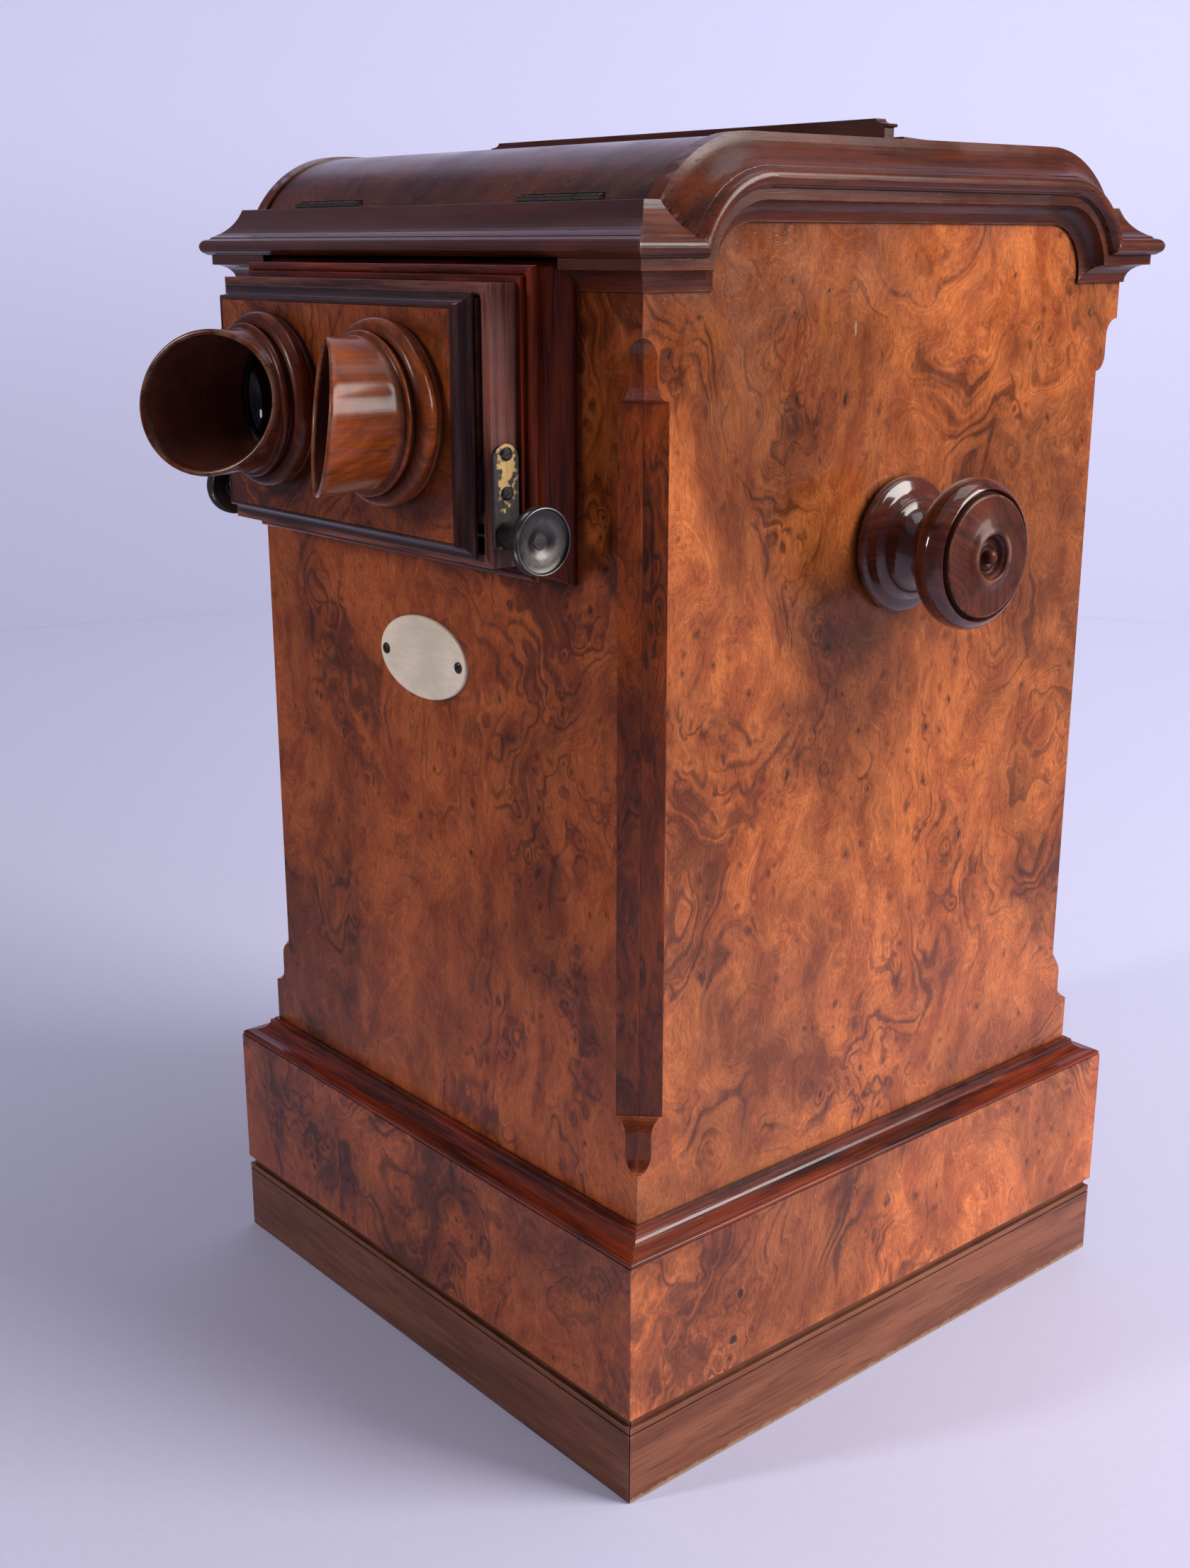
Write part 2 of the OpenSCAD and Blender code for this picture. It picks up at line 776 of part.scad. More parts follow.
module rear_lid() {
    color([0.30, 0.17, 0.12])
    union() {
        mirror([0, 1, 0])
        lid_shell(-rear_end);
        translate([-lid_hw, 0, 0])
        rotate([90, 0, 90])
        linear_extrude(height = 2 * lid_hw)
        polygon([
            [rear_end, lid_top - lid_t / 2],
            [rear_end, lid_top + rear_proud],
            [rear_end + rear_taper, lid_top],
            [rear_end + rear_taper, lid_top - lid_t / 2]]);
    }
}

module lid_strip() {
    core = lid_hw - strip_in;
    nose = core + strip_over;
    c = strip_cap;
    zc = lid_top + strip_core;
    right = concat(
        [[core, lid_top], [core, zc], [nose - 0.17 * c, zc]],
        [[nose, zc + 0.17 * c], [nose - 0.14 * c, zc + 0.38 * c]],
        [for (a = [0:18:90]) [nose - 0.41 * c - 1.45 * c * sin(a), zc + 0.41 * c + 0.59 * c * (1 - cos(a))]]);
    n = len(right);
    color([0.16, 0.08, 0.06])
    translate([0, lid_end, 0])
    rotate([90, 0, 0])
    linear_extrude(height = strip_d)
    polygon(concat(
        right,
        [for (i = [0:n - 1]) [-right[n - 1 - i][0], right[n - 1 - i][1]]]));
}

module lid_mirror() {
    color([0.80, 0.84, 0.86])
    box(-mirror_w / 2, mirror_w / 2, -mirror_back - mirror_d, -mirror_back,
        mirror_z - mirror_t, mirror_z);
}

module mirror_cleats() {
    color([0.26, 0.14, 0.09])
    for (y = [-mirror_back, -mirror_back - mirror_d])
        difference() {
            box(-mirror_w / 2 - cleat_w, mirror_w / 2 + cleat_w,
                y - cleat_w / 2, y + cleat_w / 2, mirror_z - mirror_t - cleat_lip, mirror_z);
            box(-mirror_w / 2, mirror_w / 2, -mirror_back - mirror_d, -mirror_back,
                mirror_z - mirror_t, mirror_z + 1);
        }
}

// Two leaves of the front hinges, those on the lid or those on the rail
module leaf_pair(moving) {
    k = hinge_l / 3;
    z = moving ? -leaf_t / 2 : leaf_low;
    shake = moving ? leaf_gap / 2 : 0;
    for (x = [-1, 1])
        translate([x * hinge_x, -hinge_y, hinge_z])
        difference() {
            union() {
                for (e = moving ? [0] : [-1, 1]) {
                    xrod(knuckle_r, e * k - k / 2 + shake, e * k + k / 2 - shake, 0, 0);
                    box(e * k - k / 2 + shake, e * k + k / 2 - shake, 0, leaf_w, z, z + leaf_t);
                }
                box(-hinge_l / 2, hinge_l / 2, knuckle_r + knuckle_gap, leaf_w, z, z + leaf_t);
            }
            xrod(hinge_pin_r + run_clear, -hinge_l, hinge_l, 0, 0);
        }
}

module hinge_fixed_leaves() {
    color([0.24, 0.20, 0.16])
    for (s = [0, 1])
        mirror([0, s, 0])
        leaf_pair(false);
}

module front_lid_leaves() {
    color([0.24, 0.20, 0.16])
    leaf_pair(true);
}

module rear_lid_leaves() {
    color([0.24, 0.20, 0.16])
    mirror([0, 1, 0])
    leaf_pair(true);
}

module hinge_pins() {
    color([0.50, 0.47, 0.43])
    for (x = [-1, 1], y = [-1, 1])
        xrod(hinge_pin_r, x * hinge_x - hinge_l / 2, x * hinge_x + hinge_l / 2, y * hinge_y, hinge_z);
}

// Lens box

// Four mitred lengths of a moulding around a rectangle that faces -Y
module picture_frame(hw, hh, y, zc) {
    big = 2 * (hw + hh);
    for (s = [0, 1])
        translate([0, y, zc])
        mirror([s, 0, 0])
        intersection() {
            translate([hw, 0, 0])
            linear_extrude(height = big, center = true)
            mirror([0, 1])
            children();
            rotate([90, 0, 0])
            linear_extrude(height = 4 * reach, center = true)
            polygon([[hw, hh], [hw, -hh], [hw + reach, -hh - reach], [hw + reach, hh + reach]]);
        }
    for (s = [0, 1])
        translate([0, y, zc])
        mirror([0, 0, s])
        intersection() {
            translate([0, 0, hh])
            rotate([0, -90, 0])
            linear_extrude(height = big, center = true)
            mirror([0, 1])
            children();
            rotate([90, 0, 0])
            linear_extrude(height = 4 * reach, center = true)
            polygon([[-hw, hh], [hw, hh], [hw + reach, hh + reach], [-hw - reach, hh + reach]]);
        }
}

module lens_frame() {
    color([0.22, 0.10, 0.07])
    picture_frame(bx, box_h / 2, -F, box_z)
    polygon(frame_pts);
}

module lens_box() {
    color([0.32, 0.16, 0.10])
    difference() {
        box(-bx, bx, box_y, box_back, bz0, bz1);
        box(-bx + box_t, bx - box_t, box_y - 1, box_back + 1, bz0 + box_t, bz1 - box_t);
        xrod(shaft_r + run_clear, -bx - 1, bx + 1, shaft_y, shaft_z);
        for (s = [-1, 1], z = plate_screw_z)
            xrod(plate_shank, s * bx - plate_screw_in, s * bx + plate_screw_in, shaft_y, shaft_z + z);
    }
}

module slide_runners() {
    color([0.36, 0.25, 0.16])
    for (s = [0, 1])
        mirror([s, 0, 0])
        box(bx - box_t - runner_w, bx - box_t, box_y + 1, box_back,
            tray_z0 - slide_gap - runner_h, tray_z0 - slide_gap);
}

module slide_tray() {
    color([0.28, 0.15, 0.09])
    difference() {
        box(-tray_hw, tray_hw, panel_y, panel_y + tray_l, tray_z0, tray_z1);
        box(-tray_hw + tray_t, tray_hw - tray_t, panel_y - 1, panel_y + tray_l + 1,
            tray_z0 + tray_t, tray_z1 - tray_t);
    }
}

module lens_panel() {
    color([0.45, 0.21, 0.09])
    difference() {
        box(-panel_w / 2, panel_w / 2, face_y, panel_y, box_z - panel_h / 2, box_z + panel_h / 2);
        for (s = [-1, 1])
            translate([s * eye_x, face_y, eye_z])
            rotate([90, 0, 0])
            cylinder(r = spigot_r, h = reach, center = true);
    }
}

module panel_moulding() {
    color([0.20, 0.09, 0.07])
    picture_frame(panel_w / 2, panel_h / 2, panel_y, box_z)
    polygon(edge_pts);
}

// Eyepieces

module eyepiece() {
    f = eye_flange_r;
    translate([eye_x, face_y, eye_z])
    difference() {
        rotate([90, 0, 0])
        rotate_extrude()
        polygon(concat(
            [[lens_r - 2, -panel_t], [spigot_r, -panel_t], [spigot_r, 0], [f - 0.9, 0], [f - 0.9, 1]],
            arc(f - 3.6, 4.4, 3.6, -50, 120, 10),
            [[f - 5.6, 8.3], [f - 5.0, 9.0]],
            arc(f - 4.9, 10.2, 1.2, -60, 90, 6),
            [[eye_rim_r - 0.9, 11.9], [eye_rim_r - 1.3, 16], [eye_rim_r - 1.1, 24], [eye_rim_r, hood_l]],
            [[eye_rim_r - 2, hood_l], [eye_rim_r - 3.2, 24], [seat_r + 0.8, 5], [seat_r, 3]],
            [[seat_r, -lens_in], [lens_r - 2, -lens_in]]));
        translate([0, -eye_l, 0])
        rotate([-eye_lean, 0, -eye_slant])
        box(-2 * reach, 2 * reach, -2 * reach, 0, -2 * reach, 2 * reach);
    }
}

module eyepiece_right() {
    color([0.30, 0.14, 0.08])
    eyepiece();
}

module eyepiece_left() {
    color([0.30, 0.14, 0.08])
    mirror([1, 0, 0])
    eyepiece();
}

module lenses() {
    dome_r = (lens_r * lens_r + lens_bulge * lens_bulge) / (2 * lens_bulge);
    color([0.78, 0.86, 0.90, 0.4])
    for (s = [-1, 1])
        translate([s * eye_x, face_y + lens_in, eye_z])
        rotate([90, 0, 0])
        union() {
            cylinder(r = lens_r, h = lens_edge);
            translate([0, 0, lens_edge])
            intersection() {
                translate([0, 0, lens_bulge - dome_r])
                sphere(r = dome_r);
                cylinder(r = lens_r, h = lens_bulge + 1);
            }
        }
}

module lens_rings() {
    color([0.20, 0.13, 0.09])
    for (s = [-1, 1])
        translate([s * eye_x, face_y - ring_y, eye_z])
        rotate([90, 0, 0])
        difference() {
            cylinder(r = seat_r, h = 1.6);
            translate([0, 0, -1])
            cylinder(r = lens_r - 1.6, h = 5);
        }
}

// Focus drive

function inv(a) = tan(a) - a * PI / 180;

// Half angle of a pinion tooth at radius r
function flank(r) =
    let (rb = pitch_r * cos(tooth_a))
    90 / pinion_n - backlash / 4 / pitch_r * 180 / PI
    + (inv(tooth_a) - (r > rb ? inv(acos(rb / r)) : 0)) * 180 / PI;

module pinion_outline() {
    root = pitch_r - 1.15 * pinion_m;
    tip = pitch_r + addendum;
    rr = [root, pitch_r - 0.25, pitch_r, pitch_r + addendum / 2, tip];
    polygon([for (i = [0:pinion_n - 1], j = [0:9])
        let (k = j < 5 ? j : 9 - j,
             a = 90 + (i + 0.5) * 360 / pinion_n + (j < 5 ? -1 : 1) * flank(rr[k]))
        [rr[k] * cos(a), rr[k] * sin(a)]]);
}

module pinions() {
    color([0.70, 0.55, 0.26])
    for (s = [-1, 1])
        translate([s * rack_x - rack_w / 2, shaft_y, shaft_z])
        rotate([90, 0, 90])
        difference() {
            linear_extrude(height = rack_w)
            pinion_outline();
            translate([0, 0, -1])
            cylinder(r = shaft_r, h = rack_w + 2);
        }
}

module racks() {
    w = (tooth_pitch - backlash) / 2;
    zt = pitch_r - addendum;
    zr = pitch_r + dedendum;
    zb = tray_z0 - shaft_z;
    n = ceil(travel / tooth_pitch) + 3;
    y0 = -1.5 * tooth_pitch;
    y1 = (n + 0.5) * tooth_pitch;
    teeth = [for (i = [-1:n], j = [0:3])
        let (foot = j == 0 || j == 3)
        [i * tooth_pitch + (j < 2 ? -1 : 1) * (w / 2 + (foot ? dedendum : -addendum) * tan(tooth_a)),
         foot ? zr : zt]];
    color([0.66, 0.51, 0.24])
    for (s = [-1, 1])
        translate([s * rack_x - rack_w / 2, shaft_y, shaft_z])
        rotate([90, 0, 90])
        linear_extrude(height = rack_w)
        polygon(concat([[y0, zb], [y0, zr]], teeth, [[y1, zr], [y1, zb]]));
}

module pinion_shaft() {
    color([0.62, 0.58, 0.52])
    xrod(shaft_r, -bx - out_left + focus_cap, bx + out_right - focus_cap, shaft_y, shaft_z);
}

// One focus knob along +Z, its face at o above the lens box
module focus_knob(o) {
    g = focus_r;
    h = focus_head;
    difference() {
        union() {
            rotate_extrude()
            polygon(concat(
                [[shaft_r, focus_base], [g * 0.50, focus_base], [g * 0.46, o - h]],
                [[g - 0.5, o - h], [g - 0.5, o - 0.2 * h]],
                arc(g - 0.6, o - 0.11 * h, 0.11 * h, -30, 120, 5),
                [[g * 0.88, o - 0.25 * h], [g * 0.62, o - 0.5 * h], [g * 0.38, o - 0.6 * h]],
                [[g * 0.30, o - 0.6 * h], [g * 0.27, o - 0.4 * h], [g * 0.14, o - 0.3 * h]],
                [[0, o - 0.3 * h], [0, o - focus_cap], [shaft_r, o - focus_cap]]));
            translate([0, 0, o - 0.9 * h])
            difference() {
                linear_extrude(height = 0.65 * h)
                polygon([for (i = [0:2 * knurls - 1])
                    let (r = i % 2 == 0 ? g : g - 0.45)
                    [r * cos(i * 180 / knurls), r * sin(i * 180 / knurls)]]);
                translate([0, 0, -1])
                cylinder(r = g - 1.2, h = h + 1);
            }
        }
        translate([-0.45, -g * 0.26, o - 0.5 * h])
        cube([0.9, g * 0.52, h]);
    }
}

module focus_knobs() {
    color([0.28, 0.24, 0.18])
    for (s = [0, 1])
        mirror([s, 0, 0])
        translate([bx, shaft_y, shaft_z])
        rotate([0, 90, 0])
        focus_knob(s == 0 ? out_right : out_left);
}

module bearing_plates() {
    color([0.68, 0.52, 0.25])
    for (s = [0, 1])
        mirror([s, 0, 0])
        difference() {
            union() {
                box(bx, bx + plate_t, shaft_y - plate_w / 2, shaft_y + plate_w / 2,
                    shaft_z - plate_down, shaft_z + plate_up - plate_w / 2);
                xrod(plate_w / 2, bx, bx + plate_t, shaft_y, shaft_z + plate_up - plate_w / 2);
            }
            xrod(shaft_r + run_clear, bx - 1, bx + reach, shaft_y, shaft_z);
            for (z = plate_screw_z)
                xrod(plate_shank, bx - 1, bx + reach, shaft_y, shaft_z + z);
        }
}

module plate_screws() {
    color([0.30, 0.27, 0.23])
    for (s = [0, 1], z = plate_screw_z)
        mirror([s, 0, 0])
        translate([bx + plate_t, shaft_y, shaft_z + z])
        rotate([0, 90, 0])
        screw(plate_head_r, plate_head_t, plate_shank, plate_t + plate_screw_in, plate_slot - z);
}

// Plaque

module plaque() {
    color([0.85, 0.79, 0.70])
    translate([0, -F, plaque_z])
    rotate([90, 0, 0])
    difference() {
        linear_extrude(height = plaque_t)
        polygon([for (i = [0:71]) [plaque_w / 2 * cos(i * 5), plaque_h / 2 * sin(i * 5)]]);
        for (s = [-1, 1])
            translate([s * plaque_screw_x, 0, -1])
            cylinder(r = plaque_shank, h = plaque_t + 2);
    }
}

module plaque_screws() {
    color([0.16, 0.14, 0.12])
    for (s = [-1, 1])
        translate([s * plaque_screw_x, -F - plaque_t, plaque_z])
        rotate([90, 0, 0])
        screw(plaque_head_r, plaque_head_t, plaque_shank, plaque_t + plaque_screw_in, s * plaque_slot);
}

// Card band

module septum() {
    color([0.20, 0.15, 0.12])
    box(-septum_t / 2, septum_t / 2, box_back + seat_gap, -septum_end, bz0 + septum_low, rail_z);
}

module axle() {
    color([0.55, 0.52, 0.48])
    xrod(axle_r, -R - knob_l + knob_cap, R + knob_l - knob_cap, 0, axle_z);
}

module roller() {
    color([0.55, 0.40, 0.24])
    difference() {
        xrod(roller_r, -roller_l / 2, roller_l / 2, 0, axle_z);
        xrod(axle_r, -roller_l, roller_l, 0, axle_z);
    }
}

module turning_knobs() {
    f = knob_flange_r;
    k = knob_r;
    l = knob_l;
    color([0.20, 0.10, 0.08])
    for (s = [0, 1])
        mirror([s, 0, 0])
        translate([R, 0, axle_z])
        rotate([0, 90, 0])
        rotate_extrude()
        polygon(concat(
            [[axle_r, knob_gap], [f - 1.6, knob_gap]],
            arc(f - 2.4, knob_gap + 2.6, 2.4, -70, 75, 8),
            [[f - 4.6, 5.9], [f - 6.4, 7.4], [f - 7.2, 8.4], [f - 7.8, 8.4]],
            arc(f - 4.4, 17.2, 9.4, 248, 165, 8),
            [[k - 10.5, l - 19.4], [k - 8.4, l - 17.2]],
            arc(k - 7, l - 10, 7, -95, 60, 14),
            [[k - 4.2, l - 3.6], [k - 5.2, l - 3.6], [k - 5.8, l - 2.9]],
            [[k - 8, l - 1.9], [k - 12, l - 1.0], [k - 14.5, l - 0.5]],
            arc(9.4, l - 1.2, 1.2, 80, 200, 6),
            [[7.6, l - 3.4], [4.6, l - 3.9], [3.2, l - 3.6]],
            [[3.0, l - 1.0], [2.1, l - 0.2], [0, l], [0, l - knob_cap], [axle_r, l - knob_cap]]));
}

module axle_bushes() {
    color([0.70, 0.55, 0.26])
    for (s = [0, 1])
        mirror([s, 0, 0])
        difference() {
            xrod(axle_r + bush_t, R - wall, R, 0, axle_z);
            xrod(axle_r + run_clear, 0, R + 9, 0, axle_z);
        }
}

module stadium(r, w) {
    union() {
        xrod(r, -w / 2, w / 2, 0, axle_z);
        xrod(r, -w / 2, w / 2, 0, axle_z - band_run);
        box(-w / 2, w / 2, -r, r, axle_z - band_run, axle_z);
    }
}

module card_tapes() {
    color([0.30, 0.28, 0.26])
    for (s = [-1, 1])
        translate([s * tape_x, 0, 0])
        difference() {
            stadium(band_r + tape_t / 2, tape_w);
            stadium(band_r - tape_t / 2, tape_w + 2);
        }
}

// Moves children from the axle to station i of the band, their +Y pointing outwards
module station(i) {
    q = PI * band_r / 2;
    s0 = i * band_len / card_n;
    s = s0 > band_len / 2 ? band_len - s0 : s0;
    d = s0 > band_len / 2 ? -1 : 1;
    top = s < q;
    low = s > q + band_run;
    a = top ? 90 - s / q * 90 : low ? -(s - q - band_run) / q * 90 : 0;
    z = top ? axle_z : low ? axle_z - band_run : axle_z - (s - q);
    translate([0, 0, z])
    rotate([d > 0 ? a : 180 - a, 0, 0])
    translate([0, band_r + tape_t / 2, 0])
    children();
}

module card_holders() {
    color([0.45, 0.45, 0.44])
    for (i = [0:card_n - 1])
        station(i)
        difference() {
            box(-card_w / 2 + clip_in, card_w / 2 - clip_in, 0, clip_h,
                -card_t / 2 - tin_t, card_t / 2 + tin_t);
            box(-card_w, card_w, tin_t, clip_h + 1, -card_t / 2, card_t / 2);
        }
}

module cards() {
    color([0.78, 0.70, 0.56])
    for (i = [0:card_n - 1])
        station(i)
        box(-card_w / 2, card_w / 2, tin_t, tin_t + card_h, -card_t / 2, card_t / 2);
}

base_board();
skirt_front();
skirt_back();
skirt_left();
skirt_right();
plinth_front();
plinth_back();
plinth_left();
plinth_right();
plinth_moulding_front();
plinth_moulding_back();
plinth_moulding_left();
plinth_moulding_right();
front_panel();
back_panel();
left_panel();
right_panel();
corner_blocks();
cornice_front();
cornice_back();
cornice_left();
cornice_right();
top_rails();
front_lid();
lid_strip();
lid_mirror();
mirror_cleats();
rear_lid();
hinge_fixed_leaves();
front_lid_leaves();
rear_lid_leaves();
hinge_pins();
lens_frame();
lens_box();
slide_runners();
slide_tray();
lens_panel();
panel_moulding();
eyepiece_left();
eyepiece_right();
lenses();
lens_rings();
racks();
pinion_shaft();
pinions();
focus_knobs();
bearing_plates();
plate_screws();
plaque();
plaque_screws();
septum();
axle();
roller();
turning_knobs();
axle_bushes();
card_tapes();
card_holders();
cards();
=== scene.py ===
"""Looks of a revolving table stereoscope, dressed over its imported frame."""
import math

import bmesh
import bpy
from bpy.props import FloatProperty, FloatVectorProperty, IntProperty, PointerProperty
from mathutils import Matrix, Vector


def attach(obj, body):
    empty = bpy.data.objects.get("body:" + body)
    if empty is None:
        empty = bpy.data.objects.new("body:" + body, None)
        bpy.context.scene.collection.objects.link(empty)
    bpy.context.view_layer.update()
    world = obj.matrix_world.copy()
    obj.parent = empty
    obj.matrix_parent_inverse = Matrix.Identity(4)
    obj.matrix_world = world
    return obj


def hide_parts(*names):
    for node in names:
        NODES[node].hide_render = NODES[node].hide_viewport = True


bl_info = {
    "name": "Table stereoscope",
    "version": (1, 0, 0),
    "blender": (4, 5, 0),
    "location": "3D View > Sidebar > Stereoscope",
    "description": "Veneered revolving stereoscope with turned knobs and hooded lenses",
    "category": "Object",
}

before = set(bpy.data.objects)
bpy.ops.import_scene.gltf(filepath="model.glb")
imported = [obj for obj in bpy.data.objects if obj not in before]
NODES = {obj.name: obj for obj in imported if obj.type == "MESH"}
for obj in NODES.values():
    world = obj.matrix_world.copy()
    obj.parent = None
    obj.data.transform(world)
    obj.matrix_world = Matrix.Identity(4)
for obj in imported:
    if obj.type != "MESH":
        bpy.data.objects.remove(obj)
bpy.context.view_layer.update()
MM = 0.001

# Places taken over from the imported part, in millimetres
HALF_W, HALF_D = 115.6, 119.45
BOX_HALF_W, BOX_MID_Z, BOX_HALF_H = 78.0, 363.7, 42.9
FACE_Y, EYE_X, EYE_Z = -155.0, 35.5, 366.4
PANEL_HALF_W, PANEL_HALF_H = 68.0, 35.5
SHAFT_Y, SHAFT_Z = -142.5, 331.0
AXLE_Z, PLAQUE_Z = 318.5, 276.0
YAW = 0.8649  # how far the camera is turned, in radians
# Turns that lay a wood's grain along X, Y or Z
TURN_X, TURN_Y, TURN_Z = (0, 0, 0), (0, 0, -math.pi / 2), (0, math.pi / 2, 0)


# Settings


def tone(name, value, text):
    """A colour that a user may change."""
    return FloatVectorProperty(name=name, description=text, subtype="COLOR", size=3,
                               min=0.0, max=1.0, default=value)


class StereoscopeTones(bpy.types.PropertyGroup):
    """Colours of the wood, metal and stage."""

    burr_light: tone("Burr light", (0.55, 0.152, 0.038), "Bright patches of the burr veneer")
    burr_mid: tone("Burr middle", (0.31, 0.068, 0.016), "Body of the burr veneer")
    burr_dark: tone("Burr dark", (0.072, 0.015, 0.006), "Streaks of the burr veneer")
    burr_deep: tone("Burr deep", (0.025, 0.008, 0.005), "Veins and eyes of the burr veneer")
    chamfer_light: tone("Chamfer light", (0.360, 0.066, 0.010), "Light stripes of the chamfers")
    chamfer_dark: tone("Chamfer dark", (0.145, 0.023, 0.004), "Dark stripes of the chamfers")
    # walnut_dark also colours the dirt and painted shade in the burr's corners.
    walnut_dark: tone("Lid wood dark", (0.042, 0.011, 0.006), "Dark fibres of the lid wood; dirt on the burr")
    walnut_light: tone("Lid wood light", (0.100, 0.025, 0.012), "Light fibres of strip and cleats")
    cornice_dark: tone("Cornice dark", (0.050, 0.011, 0.005), "Dark fibres of the cornice")
    cornice_front: tone("Cornice light", (0.090, 0.019, 0.008), "Light fibres of front and back cornice")
    # Painted light: the side cornices are a lighter copy of the front and back tone.
    cornice_side_lit: tone("Side cornice light", (0.135, 0.027, 0.008), "Light fibres of the side cornices")
    ebony_dark: tone("Moulding dark", (0.014, 0.005, 0.004), "Dark fibres of panel moulding and tray")
    ebony_light: tone("Moulding light", (0.060, 0.017, 0.012), "Light fibres of panel moulding and tray")
    frame_dark: tone("Frame dark", (0.028, 0.005, 0.003), "Dark fibres of lens frame and plinth moulding")
    frame_light: tone("Frame light", (0.240, 0.032, 0.008), "Light fibres of lens frame and plinth moulding")
    box_dark: tone("Lens box dark", (0.040, 0.012, 0.009), "Dark fibres of the lens box")
    box_light: tone("Lens box light", (0.270, 0.086, 0.060), "Light fibres of the lens box")
    worn: tone("Worn edge", (0.30, 0.155, 0.095), "Wood laid bare on worn edges")
    scuffed: tone("Scuffed foot", (0.42, 0.26, 0.13), "Wood laid bare along the foot of the skirt")
    skirt_dark: tone("Skirt dark", (0.150, 0.043, 0.018), "Dark fibres of the skirt")
    skirt_light: tone("Skirt light", (0.290, 0.098, 0.044), "Light fibres of the skirt")
    lid_end: tone("Rear lid light", (0.095, 0.060, 0.042), "Light fibres of the rear lid")
    # Painted shade with grime: the dark inside the hoods and in the grooves.
    grime_and_shade: tone("Grime and shade", (0.045, 0.010, 0.006), "Dark grime inside hoods and grooves")
    raw_dark: tone("Raw wood dark", (0.16, 0.105, 0.070), "Dark fibres of unpolished wood")
    raw_light: tone("Raw wood light", (0.36, 0.265, 0.190), "Light fibres of unpolished wood")
    turned_dark: tone("Turned dark", (0.036, 0.010, 0.007), "Dark fibres of the turned knobs")
    turned_light: tone("Turned light", (0.135, 0.031, 0.014), "Light fibres of the turned knobs")
    hood_dark: tone("Hood dark", (0.105, 0.021, 0.006), "Dark fibres of the eyepieces")
    hood_light: tone("Hood light", (0.325, 0.068, 0.013), "Light fibres of the eyepieces")
    brass: tone("Brass", (0.72, 0.47, 0.18), "Worn bright brass")
    tarnish: tone("Tarnish", (0.050, 0.046, 0.044), "Tarnish on brass and bronze")
    bronze: tone("Bronze", (0.17, 0.155, 0.145), "Bronzed brass of the focus knobs")
    steel: tone("Steel", (0.42, 0.40, 0.38), "Bright steel of axle, shaft and pins")
    iron: tone("Dark steel", (0.075, 0.062, 0.055), "Blackened screws, hinges and rings")
    ivory: tone("Ivory", (0.96, 0.81, 0.62), "Plaque")
    card: tone("Card", (0.58, 0.47, 0.33), "Faces of the cards")
    stage: tone("Stage", (0.68, 0.675, 0.88), "Floor and backdrop")


class StereoscopeSizes(bpy.types.PropertyGroup):
    """Sizes of the finish."""

    edge_round: FloatProperty(name="Edge rounding", unit="LENGTH", default=0.0004, min=0.0001,
                              max=0.0008, precision=5,
                              description="Rounding of the sharp edges of joinery")
    rim_round: FloatProperty(name="Rim rounding", unit="LENGTH", default=0.0009, min=0.0004,
                             max=0.001, precision=5,
                             description="Rounding of the eyepiece rims")
    lathe_steps: IntProperty(name="Lathe steps", default=160, min=48, max=256,
                             description="Steps around each turned piece")


def tones():
    return bpy.context.scene.stereoscope_tones


def sizes():
    return bpy.context.scene.stereoscope_sizes


# Node wiring


